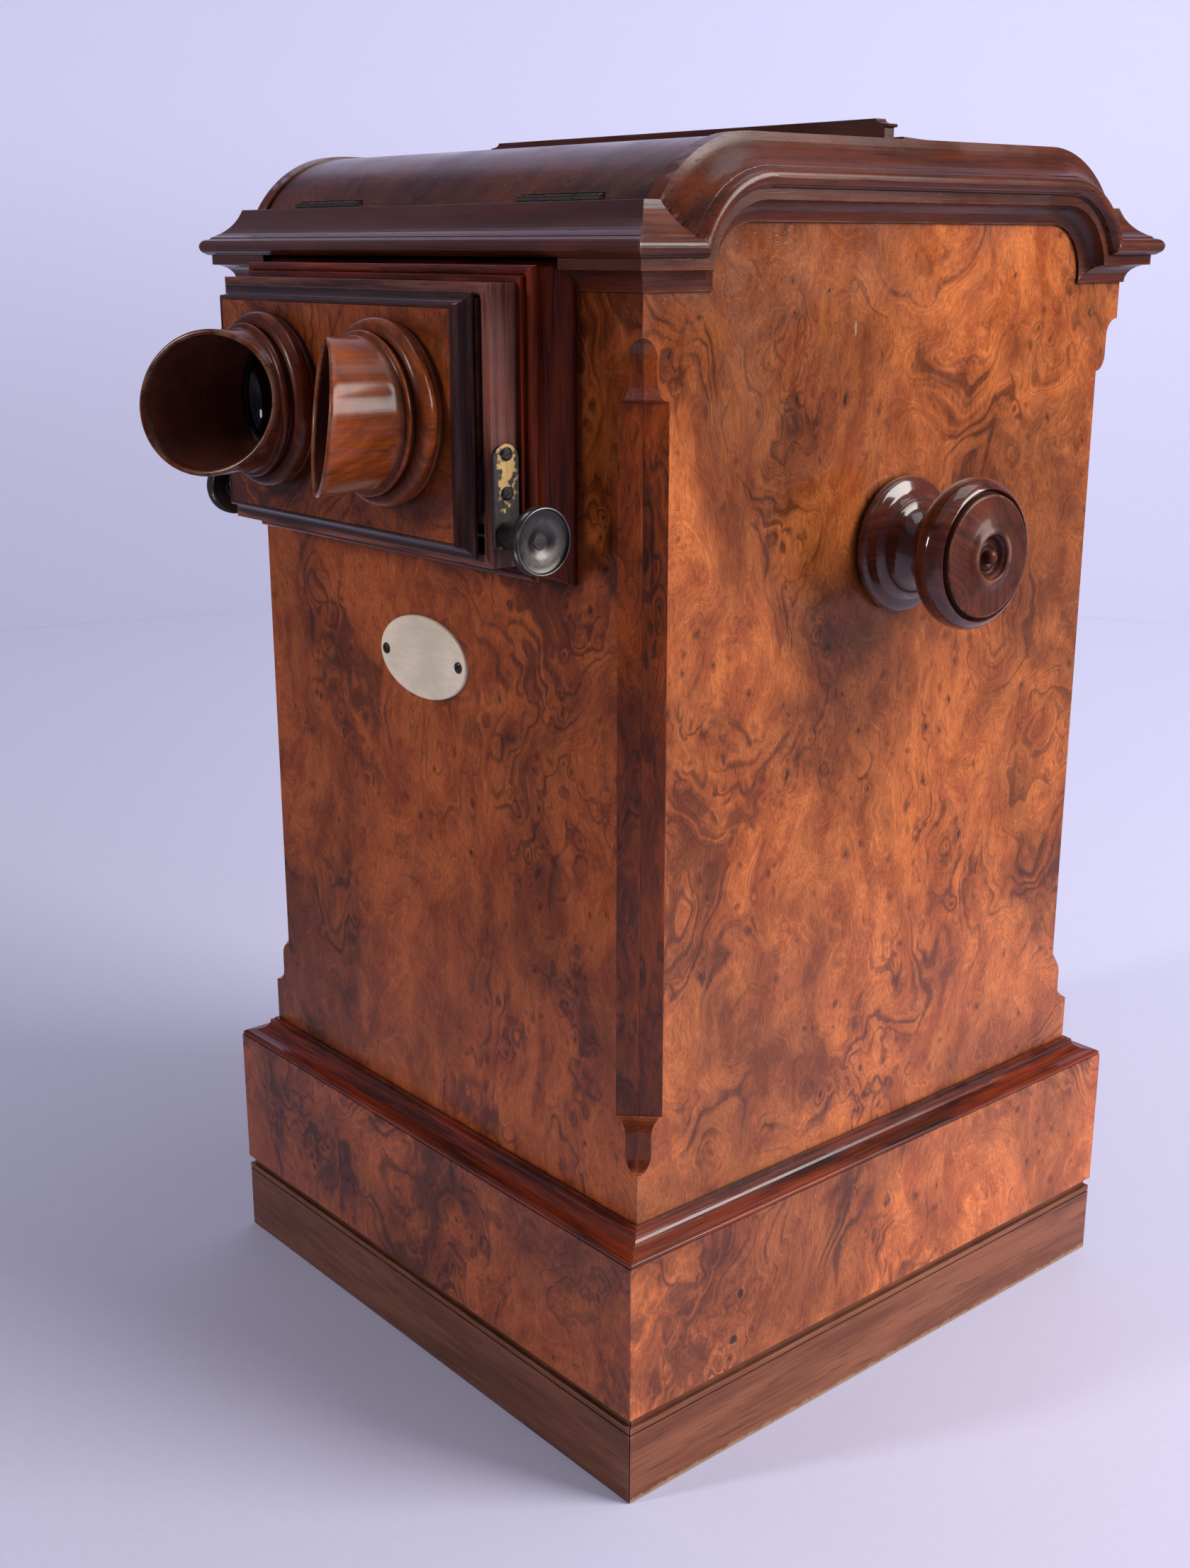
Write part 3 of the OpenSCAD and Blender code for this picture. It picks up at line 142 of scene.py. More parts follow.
class Net:
    """Places nodes in one tree and wires them with short calls."""

    def __init__(self, tree):
        self.tree = tree

    def put(self, socket, value):
        if isinstance(value, bpy.types.NodeSocket):
            self.tree.links.new(value, socket)
        elif socket.type == "RGBA":
            socket.default_value = (*value[:3], 1.0)
        else:
            socket.default_value = value

    def add(self, kind, ins=(), **props):
        node = self.tree.nodes.new(kind)
        for key, value in props.items():
            setattr(node, key, value)
        for key, value in dict(ins).items():
            self.put(node.inputs[key], value)
        return node

    def math(self, operation, *values):
        return self.add("ShaderNodeMath", enumerate(values), operation=operation).outputs[0]

    def plus(self, a, b):
        return self.math("ADD", a, b)

    def minus(self, a, b):
        return self.math("SUBTRACT", a, b)

    def times(self, first, *others):
        for value in others:
            first = self.math("MULTIPLY", first, value)
        return first

    def vec(self, operation, *values):
        node = self.add("ShaderNodeVectorMath", operation=operation)
        for index, value in enumerate(values):
            self.put(node.inputs["Scale" if operation == "SCALE" and index else index], value)
        single = operation in ("LENGTH", "DOT_PRODUCT")
        return node.outputs["Value" if single else "Vector"]

    def scaled(self, vector, by):
        return self.vec("MULTIPLY", vector, by)

    def span(self, value, low, high, to_low=0.0, to_high=1.0):
        ins = {"Value": value, "From Min": low, "From Max": high, "To Min": to_low, "To Max": to_high}
        return self.add("ShaderNodeMapRange", ins, interpolation_type="SMOOTHSTEP").outputs[0]

    def mix(self, factor, a, b, blend="MIX"):
        node = self.add("ShaderNodeMix", data_type="RGBA", blend_type=blend)
        for index, value in ((0, factor), (6, a), (7, b)):
            self.put(node.inputs[index], value)
        return node.outputs[2]

    def noise(self, vector, scale, detail=2.0, rough=0.5, out=0):
        ins = {"Vector": vector, "Scale": scale, "Detail": detail, "Roughness": rough}
        return self.add("ShaderNodeTexNoise", ins).outputs[out]

    def lines(self, value, scale, detail, rough):
        """Noise that runs along a single value, for growth lines."""
        ins = {"W": value, "Scale": scale, "Detail": detail, "Roughness": rough}
        return self.add("ShaderNodeTexNoise", ins, noise_dimensions="1D").outputs[0]

    def cells(self, vector, scale):
        return self.add("ShaderNodeTexVoronoi", {"Vector": vector, "Scale": scale}).outputs

    def mark(self, name):
        """A mark that the mesh carries, such as where it is rubbed."""
        return self.add("ShaderNodeAttribute", attribute_name=name).outputs["Fac"]

    def facing(self):
        return self.add("ShaderNodeNewGeometry").outputs["True Normal"]

    def apart(self, vector):
        return self.add("ShaderNodeSeparateXYZ", {0: vector}).outputs

    def sway(self, vector, scale, reach, detail=2.0):
        """Shifts a place by soft noise of the given reach in metres."""
        loose = self.vec("SUBTRACT", self.noise(vector, scale, detail, out=1), (0.5, 0.5, 0.5))
        return self.vec("ADD", vector, self.vec("SCALE", loose, reach))

    def fill(self, node, **values):
        """Sets or wires inputs by name, with an underscore for each space."""
        for key, value in values.items():
            self.put(node.inputs[key.replace("_", " ")], value)
        return node.outputs

    def use(self, tree, **values):
        return self.fill(self.add("ShaderNodeGroup", node_tree=tree), **values)


def group(name, ins, outs, build):
    """A shared effect as a node group, made once."""
    tree = bpy.data.node_groups.get(name)
    if tree:
        return tree
    tree = bpy.data.node_groups.new(name, "ShaderNodeTree")
    for title, kind in ins:
        tree.interface.new_socket(name=title, in_out="INPUT", socket_type="NodeSocket" + kind)
    for title, kind in outs:
        tree.interface.new_socket(name=title, in_out="OUTPUT", socket_type="NodeSocket" + kind)
    net = Net(tree)
    results = build(net, net.add("NodeGroupInput").outputs)
    end = net.add("NodeGroupOutput")
    for title, socket in results.items():
        net.put(end.inputs[title], socket)
    return tree


# Shared effects


def burr_figure():
    """Burr veneer: growth lines that swirl, dark one-sided veins and crowds of small eyes."""

    def build(net, i):
        place = net.vec("ADD", i["Vector"], i["Seed"])
        bent = net.sway(net.sway(place, 12.0, 0.055), 48.0, 0.010)
        upright = net.scaled(bent, (1.0, 1.0, 0.2))
        fibre = net.noise(upright, 1100.0, 3.0, 0.6)
        spot_at = net.sway(net.scaled(place, (1.0, 1.0, 0.8)), 130.0, 0.006, 3.0)
        crowd = net.span(net.noise(net.scaled(place, (1.0, 1.0, 0.6)), 15.0, 2.0), 0.40, 0.56)
        spot = net.cells(spot_at, 125.0)
        chance = net.add("ShaderNodeSeparateColor", {0: spot["Color"]}).outputs
        ratio = net.math("DIVIDE", spot["Distance"], net.math("MULTIPLY_ADD", chance[1], 0.22, 0.15))
        shown = net.math("LESS_THAN", chance[0], crowd)
        bulge = net.times(net.span(ratio, 0.0, 2.4, 1.0, 0.0), shown)

        swell = net.noise(net.scaled(bent, (1.0, 1.0, 0.7)), 12.0, 3.0, 0.42)
        swell = net.math("MULTIPLY_ADD", bulge, 0.035, swell)
        swell = net.math("MULTIPLY_ADD", net.minus(fibre, 0.5), 0.006, swell)
        coarse = net.lines(swell, 46.0, 2.0, 0.5)
        lines = net.lines(swell, 190.0, 4.0, 0.65)
        drawn = net.span(net.noise(place, 24.0, 3.0, 0.6), 0.36, 0.62, 0.30, 1.0)

        cloud = net.noise(net.vec("MULTIPLY_ADD", bent, (1.0, 1.0, 0.8), (0.7, 0.3, 0.9)), 19.0, 6.0, 0.62)
        haze = net.span(net.math("MULTIPLY_ADD", net.minus(coarse, 0.5), 0.36, cloud), 0.50, 0.66)
        gold = net.span(net.noise(net.scaled(bent, (1.0, 1.0, 0.6)), 62.0, 6.0, 0.66), 0.34, 0.66)
        vein = net.times(net.span(coarse, 0.555, 0.61), net.span(coarse, 0.60, 0.74, 1.0, 0.0),
                         net.span(net.noise(place, 13.0, 3.0, 0.6), 0.47, 0.60))
        thin = net.math("ABSOLUTE", net.minus(lines, 0.5))
        thin = net.times(net.span(thin, 0.0, 0.030, 1.0, 0.0), drawn)
        eye = net.times(net.span(ratio, 0.15, 0.95, 1.0, 0.0), shown)
        pip = net.times(net.span(ratio, 0.10, 0.34, 1.0, 0.0), shown,
                        net.math("GREATER_THAN", chance[2], 0.4))
        dash = net.span(net.noise(net.scaled(bent, (1.0, 1.0, 0.25)), 1700.0, 1.0), 0.62, 0.72)

        colour = net.mix(gold, i["Mid"], i["Light"])
        for share, amount, target in ((haze, 0.74, "Dark"), (vein, 0.43, "Dark"), (eye, 0.58, "Dark"),
                                      (thin, 0.28, "Dark"), (pip, 0.85, "Deep"), (dash, 0.40, "Deep")):
            colour = net.mix(net.times(share, amount), colour, i[target])
        broad = net.noise(net.vec("MULTIPLY_ADD", bent, (1.0, 1.0, 0.9), (0.2, 0.8, 0.4)), 9.0, 5.0, 0.55)
        shade = net.times(net.span(fibre, 0.25, 0.75, 0.80, 1.20), net.span(lines, 0.3, 0.7, 0.86, 1.14),
                          net.span(broad, 0.36, 0.58, 0.52, 1.12))
        colour = net.mix(1.0, colour, shade, "MULTIPLY")
        return {"Color": colour, "Height": net.minus(net.times(fibre, 0.4), dash)}

    ins = [("Vector", "Vector"), ("Seed", "Vector"), ("Light", "Color"), ("Mid", "Color"),
           ("Dark", "Color"), ("Deep", "Color")]
    return group("Burr figure", ins, [("Color", "Color"), ("Height", "Float")], build)


def straight_grain():
    """Straight wood grain that runs along X."""

    def build(net, i):
        place = net.vec("ADD", i["Vector"], i["Seed"])
        place = net.sway(net.scaled(place, (0.25, 1.0, 1.0)), 16.0, 0.012)
        band = net.noise(net.scaled(place, (0.5, 1.0, 1.0)), 130.0, 3.0, 0.55)
        fibre = net.noise(net.scaled(place, (0.12, 1.0, 1.0)), 900.0, 3.0, 0.65)
        pore = net.span(net.noise(net.scaled(place, (0.14, 1.0, 1.0)), 1500.0, 1.0), 0.63, 0.72)
        blend = net.plus(net.times(band, 0.6), net.times(fibre, 0.4))
        colour = net.mix(net.span(blend, 0.34, 0.66), i["Dark"], i["Light"])
        colour = net.mix(net.times(pore, 0.65), colour, net.mix(0.6, i["Dark"], (0, 0, 0)))
        return {"Color": colour, "Height": net.minus(net.times(fibre, 0.5), pore)}

    ins = [("Vector", "Vector"), ("Seed", "Vector"), ("Dark", "Color"), ("Light", "Color")]
    return group("Straight grain", ins, [("Color", "Color"), ("Height", "Float")], build)


def edge_wear_and_shade():
    """Rubbed edges, and dirt with painted shade in corners and creases."""

    def build(net, i):
        round_normal = net.add("ShaderNodeBevel", {"Radius": i["Width"]}, samples=4).outputs[0]
        bend = net.minus(1.0, net.vec("DOT_PRODUCT", round_normal, net.facing()))
        open_air = net.add("ShaderNodeAmbientOcclusion", {"Distance": i["Reach"]}, samples=6).outputs["AO"]
        rub = net.noise(i["Vector"], 55.0, 4.0, 0.65)
        worn = net.times(net.span(bend, 0.10, 0.22), net.span(rub, 0.44, 0.62),
                         net.span(open_air, 0.45, 0.75))
        # Painted shade mixed with dirt: ambient occlusion darkens corners and creases.
        dirt_and_shade = net.span(open_air, 0.30, 0.94, 1.0, 0.0)
        dirt_and_shade = net.times(dirt_and_shade, net.span(net.noise(i["Vector"], 120.0, 3.0), 0.2, 0.6, 0.55, 1.0))
        return {"Worn": worn, "Dirt and shade": dirt_and_shade}

    ins = [("Vector", "Vector"), ("Width", "Float"), ("Reach", "Float")]
    return group("Edge wear and shade", ins, [("Worn", "Float"), ("Dirt and shade", "Float")], build)


def old_polish():
    """Uneven gloss of an old polish with smudges and a fine ripple."""

    def build(net, i):
        smudge = net.noise(i["Vector"], 34.0, 4.0, 0.62)
        ripple = net.noise(i["Vector"], 420.0, 3.0, 0.6)
        return {"Smudge": smudge, "Height": net.times(ripple, 0.6)}

    return group("Old polish", [("Vector", "Vector")], [("Smudge", "Float"), ("Height", "Float")], build)


# Materials


def blank(name):
    """An empty material with its shader, and the place on the piece that drives it."""
    material = bpy.data.materials.new(name)
    material.use_nodes = True
    net = Net(material.node_tree)
    shader = material.node_tree.nodes["Principled BSDF"]
    return material, net, shader, net.add("ShaderNodeTexCoord").outputs["Object"]


def turned(net, place, turn):
    return net.add("ShaderNodeMapping", {"Vector": place, "Rotation": turn}).outputs[0]


def bump(net, shader, height, strength, distance=0.0006):
    node = net.add("ShaderNodeBump", {"Strength": strength, "Distance": distance, "Height": height})
    net.fill(shader, Normal=node.outputs[0])


def polish(net, shader, place, low, high, gloss):
    """Lays an old polish over a wood and returns its height."""
    film = net.use(old_polish(), Vector=place)
    net.fill(shader, Roughness=net.span(film["Smudge"], 0.25, 0.75, low, high), Specular_IOR_Level=gloss)
    return film["Height"]


def blemish(net, colour, place, marks):
    """Lays small marks on a side face: (back, up, half width, half height) in millimetres and a colour."""
    ragged = net.sway(place, 420.0, 0.0016)
    for (back, up, half_w, half_h), tint in marks:
        off = net.vec("SUBTRACT", ragged, (0.0, back * MM, up * MM))
        off = net.vec("LENGTH", net.scaled(off, (0.0, 1.0 / (half_w * MM), 1.0 / (half_h * MM))))
        colour = net.mix(net.span(off, 0.6, 1.1, 0.92, 0.0), colour, tint)
    return colour


def burr_wood(name, seed, shade=(1.0, 1.0, 1.0), chamfered=False, gloss=0.36, marks=()):
    """Burr veneer under an old polish, with striped chamfers where the panel has them; shade multiplies its
    colour, as a tint and on some pieces as painted light and shade.
    """
    t = tones()
    material, net, shader, place = blank(name)
    burr = net.use(burr_figure(), Vector=place, Seed=seed, Light=t.burr_light,
                   Mid=t.burr_mid, Dark=t.burr_dark, Deep=t.burr_deep)
    colour = net.mix(1.0, burr["Color"], shade, "MULTIPLY")
    if chamfered:
        normal = net.apart(net.facing())
        lean = net.math("ABSOLUTE", net.times(normal[0], normal[1]))
        stripe = net.use(burr_figure(), Vector=net.scaled(place, (1.6, 1.6, 0.7)), Seed=seed[::-1],
                         Light=t.chamfer_light, Mid=t.chamfer_dark, Dark=t.burr_deep, Deep=t.burr_deep)
        colour = net.mix(net.span(lean, 0.08, 0.2), colour, stripe["Color"])
    edge = net.use(edge_wear_and_shade(), Vector=place, Width=0.0012, Reach=0.004)
    colour = net.mix(net.times(edge["Worn"], 0.35), colour, t.worn)
    # Dirt and painted shade in corners, in the lid wood's dark tone.
    colour = net.mix(net.times(edge["Dirt and shade"], 0.75), colour, t.walnut_dark)
    net.fill(shader, Base_Color=blemish(net, colour, place, marks))
    film = polish(net, shader, place, 0.14, 0.30, gloss)
    bump(net, shader, net.plus(burr["Height"], film), 0.10)
    return material


def plain_wood(name, dark, light, turn=TURN_X, seed=(0, 0, 0), wear=0.5, width=0.0014,
               rough=(0.12, 0.26), gloss=0.45, mitre=None, foot=False, reach=0.004):
    """Straight-grained wood; mitre gives a frame's half sizes and middle, foot scuffs it by the floor."""
    t = tones()
    material, net, shader, place = blank(name)
    along = turned(net, place, turn)
    if mitre:
        half_w, half_h, middle = (value * MM for value in mitre)
        x, _, z = net.apart(place)
        side = net.minus(net.math("ABSOLUTE", x), half_w)
        end = net.minus(net.math("ABSOLUTE", net.minus(z, middle)), half_h)
        upright = net.math("GREATER_THAN", side, end)
        node = net.add("ShaderNodeMix", data_type="VECTOR")
        for index, value in ((0, upright), (4, turned(net, place, TURN_X)), (5, turned(net, place, TURN_Z))):
            net.put(node.inputs[index], value)
        along = node.outputs[1]
    grain = net.use(straight_grain(), Vector=along, Seed=seed, Dark=dark, Light=light)
    edge = net.use(edge_wear_and_shade(), Vector=place, Width=width, Reach=reach)
    colour = net.mix(net.times(edge["Worn"], wear), grain["Color"], t.worn)
    # Dirt and painted shade in corners, as a darker copy of the dark fibres.
    colour = net.mix(net.times(edge["Dirt and shade"], 0.8), colour, [c * 0.3 for c in dark])
    if foot:
        scuff = net.math("MULTIPLY_ADD", net.noise(place, 230.0, 6.0, 0.75), -0.006, net.apart(place)[2])
        colour = net.mix(net.span(scuff, -0.0026, -0.0010, 0.75, 0.0), colour, t.scuffed)
    net.fill(shader, Base_Color=colour)
    film = polish(net, shader, place, rough[0], rough[1], gloss)
    bump(net, shader, net.plus(grain["Height"], film), 0.07)
    return material


def turned_wood(name, dark, light, seed, turn, heart, wear, coat):
    """Lathe-turned wood; its rings centre on heart, and the mesh says what is rubbed, satin, or darkened by
    grime with painted shade.
    """
    t = tones()
    material, net, shader, place = blank(name)
    along = turned(net, place, turn)
    lift, across, up = net.apart(net.sway(along, 40.0, 0.006))
    far = net.add("ShaderNodeCombineXYZ", {
        1: net.minus(net.math("MULTIPLY_ADD", lift, 0.22, across), heart[0] * MM),
        2: net.minus(up, heart[1] * MM)}).outputs[0]
    ring = net.lines(net.vec("LENGTH", far), 480.0, 4.0, 0.6)
    grain = net.use(straight_grain(), Vector=along, Seed=seed, Dark=dark, Light=light)
    cloud = net.noise(net.vec("ADD", place, seed), 38.0, 4.0, 0.6)
    colour = net.mix(0.42, grain["Color"], net.mix(net.span(ring, 0.28, 0.72), dark, light))
    colour = net.mix(1.0, colour, net.span(cloud, 0.3, 0.7, 0.7, 1.25), "MULTIPLY")
    rub, grime_and_shade, satin = (net.mark(title) for title in ("rub", "grime_and_shade", "satin"))
    patchy = net.span(net.noise(place, 110.0, 4.0, 0.65), 0.40, 0.64)
    colour = net.mix(net.times(rub, patchy, wear), colour, t.worn)
    # Grime with painted shade darkens grooves, steps and hollows.
    colour = net.mix(net.times(grime_and_shade, 0.9), colour, t.grime_and_shade)
    net.fill(shader, Base_Color=colour)
    film = net.use(old_polish(), Vector=place)
    gloss = net.span(film["Smudge"], 0.25, 0.75, 0.13, 0.27)
    dull = net.math("MULTIPLY_ADD", satin, 0.18, gloss)
    net.fill(shader, Roughness=net.math("MULTIPLY_ADD", grime_and_shade, 0.45, dull), Specular_IOR_Level=0.12)
    coated = net.math("MULTIPLY_ADD", net.math("MAXIMUM", grime_and_shade, satin), -0.85 * coat[0], coat[0])
    net.fill(shader, Coat_Weight=coated, Coat_Roughness=coat[1])
    bump(net, shader, net.plus(grain["Height"], film["Height"]), 0.06)
    return material


def metal(name, bright, dull, rough, patch, scale, grain=(1, 1, 1)):
    """Metal that goes from bright to tarnished in patches, with fine scratches."""
    material, net, shader, place = blank(name)
    cloud = net.noise(place, scale, 5.0, 0.65)
    spots = net.span(net.noise(place, scale * 5.0, 2.0), 0.58, 0.7)
    scratch = net.noise(net.scaled(place, grain), 1900.0, 2.0, 0.6)
    clean = net.times(net.span(cloud, patch[0], patch[1]), net.minus(1.0, spots))
    net.fill(shader, Base_Color=net.mix(clean, dull, bright), Metallic=1.0)
    net.fill(shader, Roughness=net.span(clean, 0.0, 1.0, rough[1], rough[0]))
    bump(net, shader, net.plus(scratch, net.times(spots, -0.6)), 0.12, 0.0002)
    return material


def matt(name, dark, light, scale, fine, rough, stretch=(1, 1, 1)):
    """Matt stuff for the plaque and the hood linings: clouded colour and a fine tooth."""
    material, net, shader, place = blank(name)
    tooth = net.noise(net.scaled(place, stretch), fine, 3.0, 0.6)
    cloud = net.noise(place, scale, 5.0, 0.6)
    tint = net.plus(net.times(cloud, 0.7), net.times(tooth, 0.3))
    net.fill(shader, Base_Color=net.mix(net.span(tint, 0.3, 0.68), dark, light))
    net.fill(shader, Roughness=net.span(cloud, 0.3, 0.7, rough[0], rough[1]))
    bump(net, shader, tooth, 0.12, 0.0003)
    return material


def cloth_tape():
    """Woven tape of the card band."""
    material, net, shader, place = blank("Woven tape")
    x, y, z = net.apart(place)
    warp = net.math("SINE", net.times(x, 9000.0))
    weft = net.math("SINE", net.times(net.plus(y, z), 7000.0))
    weave = net.times(warp, weft)
    soil = net.noise(place, 70.0, 4.0)
    colour = net.mix(net.span(weave, -0.8, 0.8), (0.20, 0.16, 0.11), (0.40, 0.34, 0.25))
    colour = net.mix(net.span(soil, 0.4, 0.7, 0.0, 0.5), colour, (0.12, 0.09, 0.06))
    net.fill(shader, Base_Color=colour, Roughness=net.span(soil, 0.3, 0.7, 0.8, 0.95))
    bump(net, shader, weave, 0.3, 0.0003)
    return material


def lens_glass():
    """Clear glass with a breath of dust on it."""
    material, net, shader, place = blank("Lens glass")
    dust = net.noise(place, 240.0, 4.0, 0.6)
    clear = net.mix(net.span(dust, 0.3, 0.7), (0.93, 0.97, 0.97), (0.98, 1.0, 0.99))
    net.fill(shader, Base_Color=clear, Roughness=net.span(dust, 0.35, 0.75, 0.0, 0.07))
    net.fill(shader, Transmission_Weight=1.0, IOR=1.52)
    return material


def mirror_glass():
    """Old silvered mirror with patches of foxing."""
    material, net, shader, place = blank("Old mirror")
    fox = net.span(net.noise(place, 90.0, 5.0, 0.7), 0.60, 0.72)
    net.fill(shader, Base_Color=net.mix(fox, (0.82, 0.84, 0.84), (0.20, 0.16, 0.12)))
    net.fill(shader, Roughness=net.span(fox, 0.0, 1.0, 0.03, 0.5), Metallic=1.0)
    return material


def card_face():
    """Stereo card: buff mount with two plain toned rectangles."""
    t = tones()
    material, net, shader, place = blank("Stereo card")
    x = net.apart(place)[0]
    normal = net.apart(net.facing())
    flat = net.span(net.math("ABSOLUTE", normal[0]), 0.2, 0.5, 1.0, 0.0)
    off = net.math("ABSOLUTE", net.minus(net.math("ABSOLUTE", x), 0.042))
    inside = net.times(net.span(off, 0.0375, 0.0380, 1.0, 0.0), flat)
    mottle = net.noise(place, 38.0, 4.0)
    print_tone = net.mix(net.span(mottle, 0.3, 0.7), (0.10, 0.062, 0.036), (0.36, 0.26, 0.165))
    fleck = net.noise(place, 700.0, 3.0)
    mount = net.mix(net.span(fleck, 0.3, 0.7), t.card, (0.70, 0.60, 0.45))
    net.fill(shader, Base_Color=net.mix(net.times(inside, 0.8), mount, print_tone))
    net.fill(shader, Roughness=net.span(mottle, 0.3, 0.7, 0.55, 0.8))
    bump(net, shader, fleck, 0.08, 0.0002)
    return material


def worn_plate():
    """Bearing plate: dark tarnish all round, with gold left in the middle."""
    t = tones()
    material, net, shader, place = blank("Worn plate brass")
    y = net.apart(place)[1]
    ragged = net.noise(place, 330.0, 6.0, 0.7)
    across = net.math("ABSOLUTE", net.minus(y, SHAFT_Y * MM))
    across = net.math("MULTIPLY_ADD", net.minus(ragged, 0.5), 0.012, across)
    bare = net.span(across, 0.0022, 0.0034, 1.0, 0.0)
    bare = net.times(bare, net.span(net.noise(place, 120.0, 3.0, 0.6), 0.40, 0.46))
    rub = net.noise(net.scaled(place, (1.0, 1.0, 0.2)), 1500.0, 2.0)
    gold = net.mix(net.span(rub, 0.3, 0.7), [c * 0.9 for c in t.brass], t.brass)
    net.fill(shader, Base_Color=net.mix(bare, t.tarnish, gold), Metallic=0.5)
    net.fill(shader, Roughness=net.span(ragged, 0.3, 0.7, 0.32, 0.6))
    bump(net, shader, net.math("MULTIPLY_ADD", bare, -0.4, rub), 0.12, 0.0002)
    return material


def rubbed_bronze():
    """Dark bronzed brass, paler where the mesh says fingers rub it."""
    t = tones()
    material, net, shader, place = blank("Bronzed brass")
    cloud = net.noise(place, 240.0, 5.0, 0.65)
    pit = net.span(net.noise(place, 1300.0, 2.0), 0.60, 0.70)
    clean = net.times(net.mark("rub"), net.span(cloud, 0.25, 0.65, 0.55, 1.0),
                      net.math("MULTIPLY_ADD", pit, -0.5, 1.0))
    net.fill(shader, Base_Color=net.mix(clean, t.tarnish, t.bronze), Metallic=1.0)
    net.fill(shader, Roughness=net.span(cloud, 0.3, 0.7, 0.27, 0.42))
    bump(net, shader, net.minus(cloud, pit), 0.10, 0.0002)
    return material


# Shapes


def wear_material(obj, material):
    obj.data.materials.clear()
    obj.data.materials.append(material)


def dress(node, material, rounding=1.0):
    """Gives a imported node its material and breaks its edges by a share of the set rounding; 0 leaves them."""
    obj = NODES[node]
    for slot in obj.material_slots:
        slot.material = material
    if rounding:
        weld = obj.modifiers.new("Join corners", "WELD")
        weld.merge_threshold = 0.000002
        bevel = obj.modifiers.new("Broken edges", "BEVEL")
        bevel.limit_method = "ANGLE"
        bevel.angle_limit = math.radians(32)
        bevel.width = sizes().edge_round * rounding
        bevel.segments = 2
        bevel.use_clamp_overlap = True
        even = obj.modifiers.new("Even shading", "WEIGHTED_NORMAL")
        even.keep_sharp = True


def arc(cx, cy, r, a0, a1, n):
    """Points on an arc, in millimetres and degrees."""
    turns = [math.radians(a0 + (a1 - a0) * k / n) for k in range(n + 1)]
    return [(cx + r * math.cos(a), cy + r * math.sin(a)) for a in turns]


def eased(points, radius, steps=3):
    """Rounds the corners of an open outline."""
    result = [points[0]]
    for before, here, after in zip(points, points[1:], points[2:]):
        b, h, a = Vector(before), Vector(here), Vector(after)
        back, ahead = b - h, a - h
        if min(back.length, ahead.length) < 1e-6 or back.angle(-ahead) < math.radians(14):
            result.append(here)
            continue
        cut = min(radius, 0.45 * back.length, 0.45 * ahead.length)
        p, q = h + back.normalized() * cut, h + ahead.normalized() * cut
        for k in range(steps + 1):
            f = k / steps
            result.append(tuple(p * (1 - f) ** 2 + h * 2 * f * (1 - f) + q * f * f))
    result.append(points[-1])
    return result


def piece(name, verts, faces, body, nodes, material, marks=None, sharp=40, lining=None):
    """Adds a finished mesh piece that rides on a body; lining is a second material and the faces in it."""
    mesh = bpy.data.meshes.new(name)
    mesh.from_pydata([Vector(v) * MM for v in verts], [], faces)
    for title, values in (marks or {}).items():
        layer = mesh.attributes.new(title, "FLOAT", "POINT")
        layer.data.foreach_set("value", values)
    work = bmesh.new()
    work.from_mesh(mesh)
    bmesh.ops.recalc_face_normals(work, faces=work.faces)
    for face in work.faces:
        face.smooth = True
    for edge in work.edges:
        if len(edge.link_faces) == 2 and edge.calc_face_angle(0) > math.radians(sharp):
            edge.smooth = False
    work.to_mesh(mesh)
    work.free()
    obj = bpy.data.objects.new(name, mesh)
    bpy.context.scene.collection.objects.link(obj)
    wear_material(obj, material)
    if lining:
        mesh.materials.append(lining[0])
        for index in lining[1]:
            mesh.polygons[index].material_index = 1
    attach(obj, body)
    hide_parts(*nodes)


def lathe(profile, place, steps=None, marks=None):
    """Turns an outline of (radius, lift) points; place puts (across, up, lift) into the frame."""
    steps = steps or sizes().lathe_steps
    verts, faces, rows, spread = [], [], [], {title: [] for title in marks or {}}
    for radius, lift in profile:
        row = []
        for k in range(1 if radius < 1e-6 else steps):
            angle = 2 * math.pi * k / steps
            row.append(len(verts))
            verts.append(place(radius * math.cos(angle), radius * math.sin(angle), lift))
            for title in spread:
                spread[title].append(marks[title](radius, lift))
        rows.append(row)
    for low, high in zip(rows, rows[1:]):
        for k in range(steps):
            m = k + 1
            quad = [low[k % len(low)], low[m % len(low)], high[m % len(high)], high[k % len(high)]]
            quad = [v for n, v in enumerate(quad) if v not in quad[:n]]
            if len(quad) > 2:
                faces.append(quad)
    return verts, faces, spread


def joined(parts):
    """Joins several (verts, faces, marks) lists into one."""
    verts, faces, marks = [], [], {}
    for more, quads, spread in parts:
        start = len(verts)
        verts += more
        faces += [[v + start for v in quad] for quad in quads]
        for title, values in spread.items():
            marks.setdefault(title, []).extend(values)
    return verts, faces, marks


def near(value, target, width):
    """1 at the target, falling to 0 at the given width from it."""
    return max(0.0, 1.0 - abs(value - target) / width)


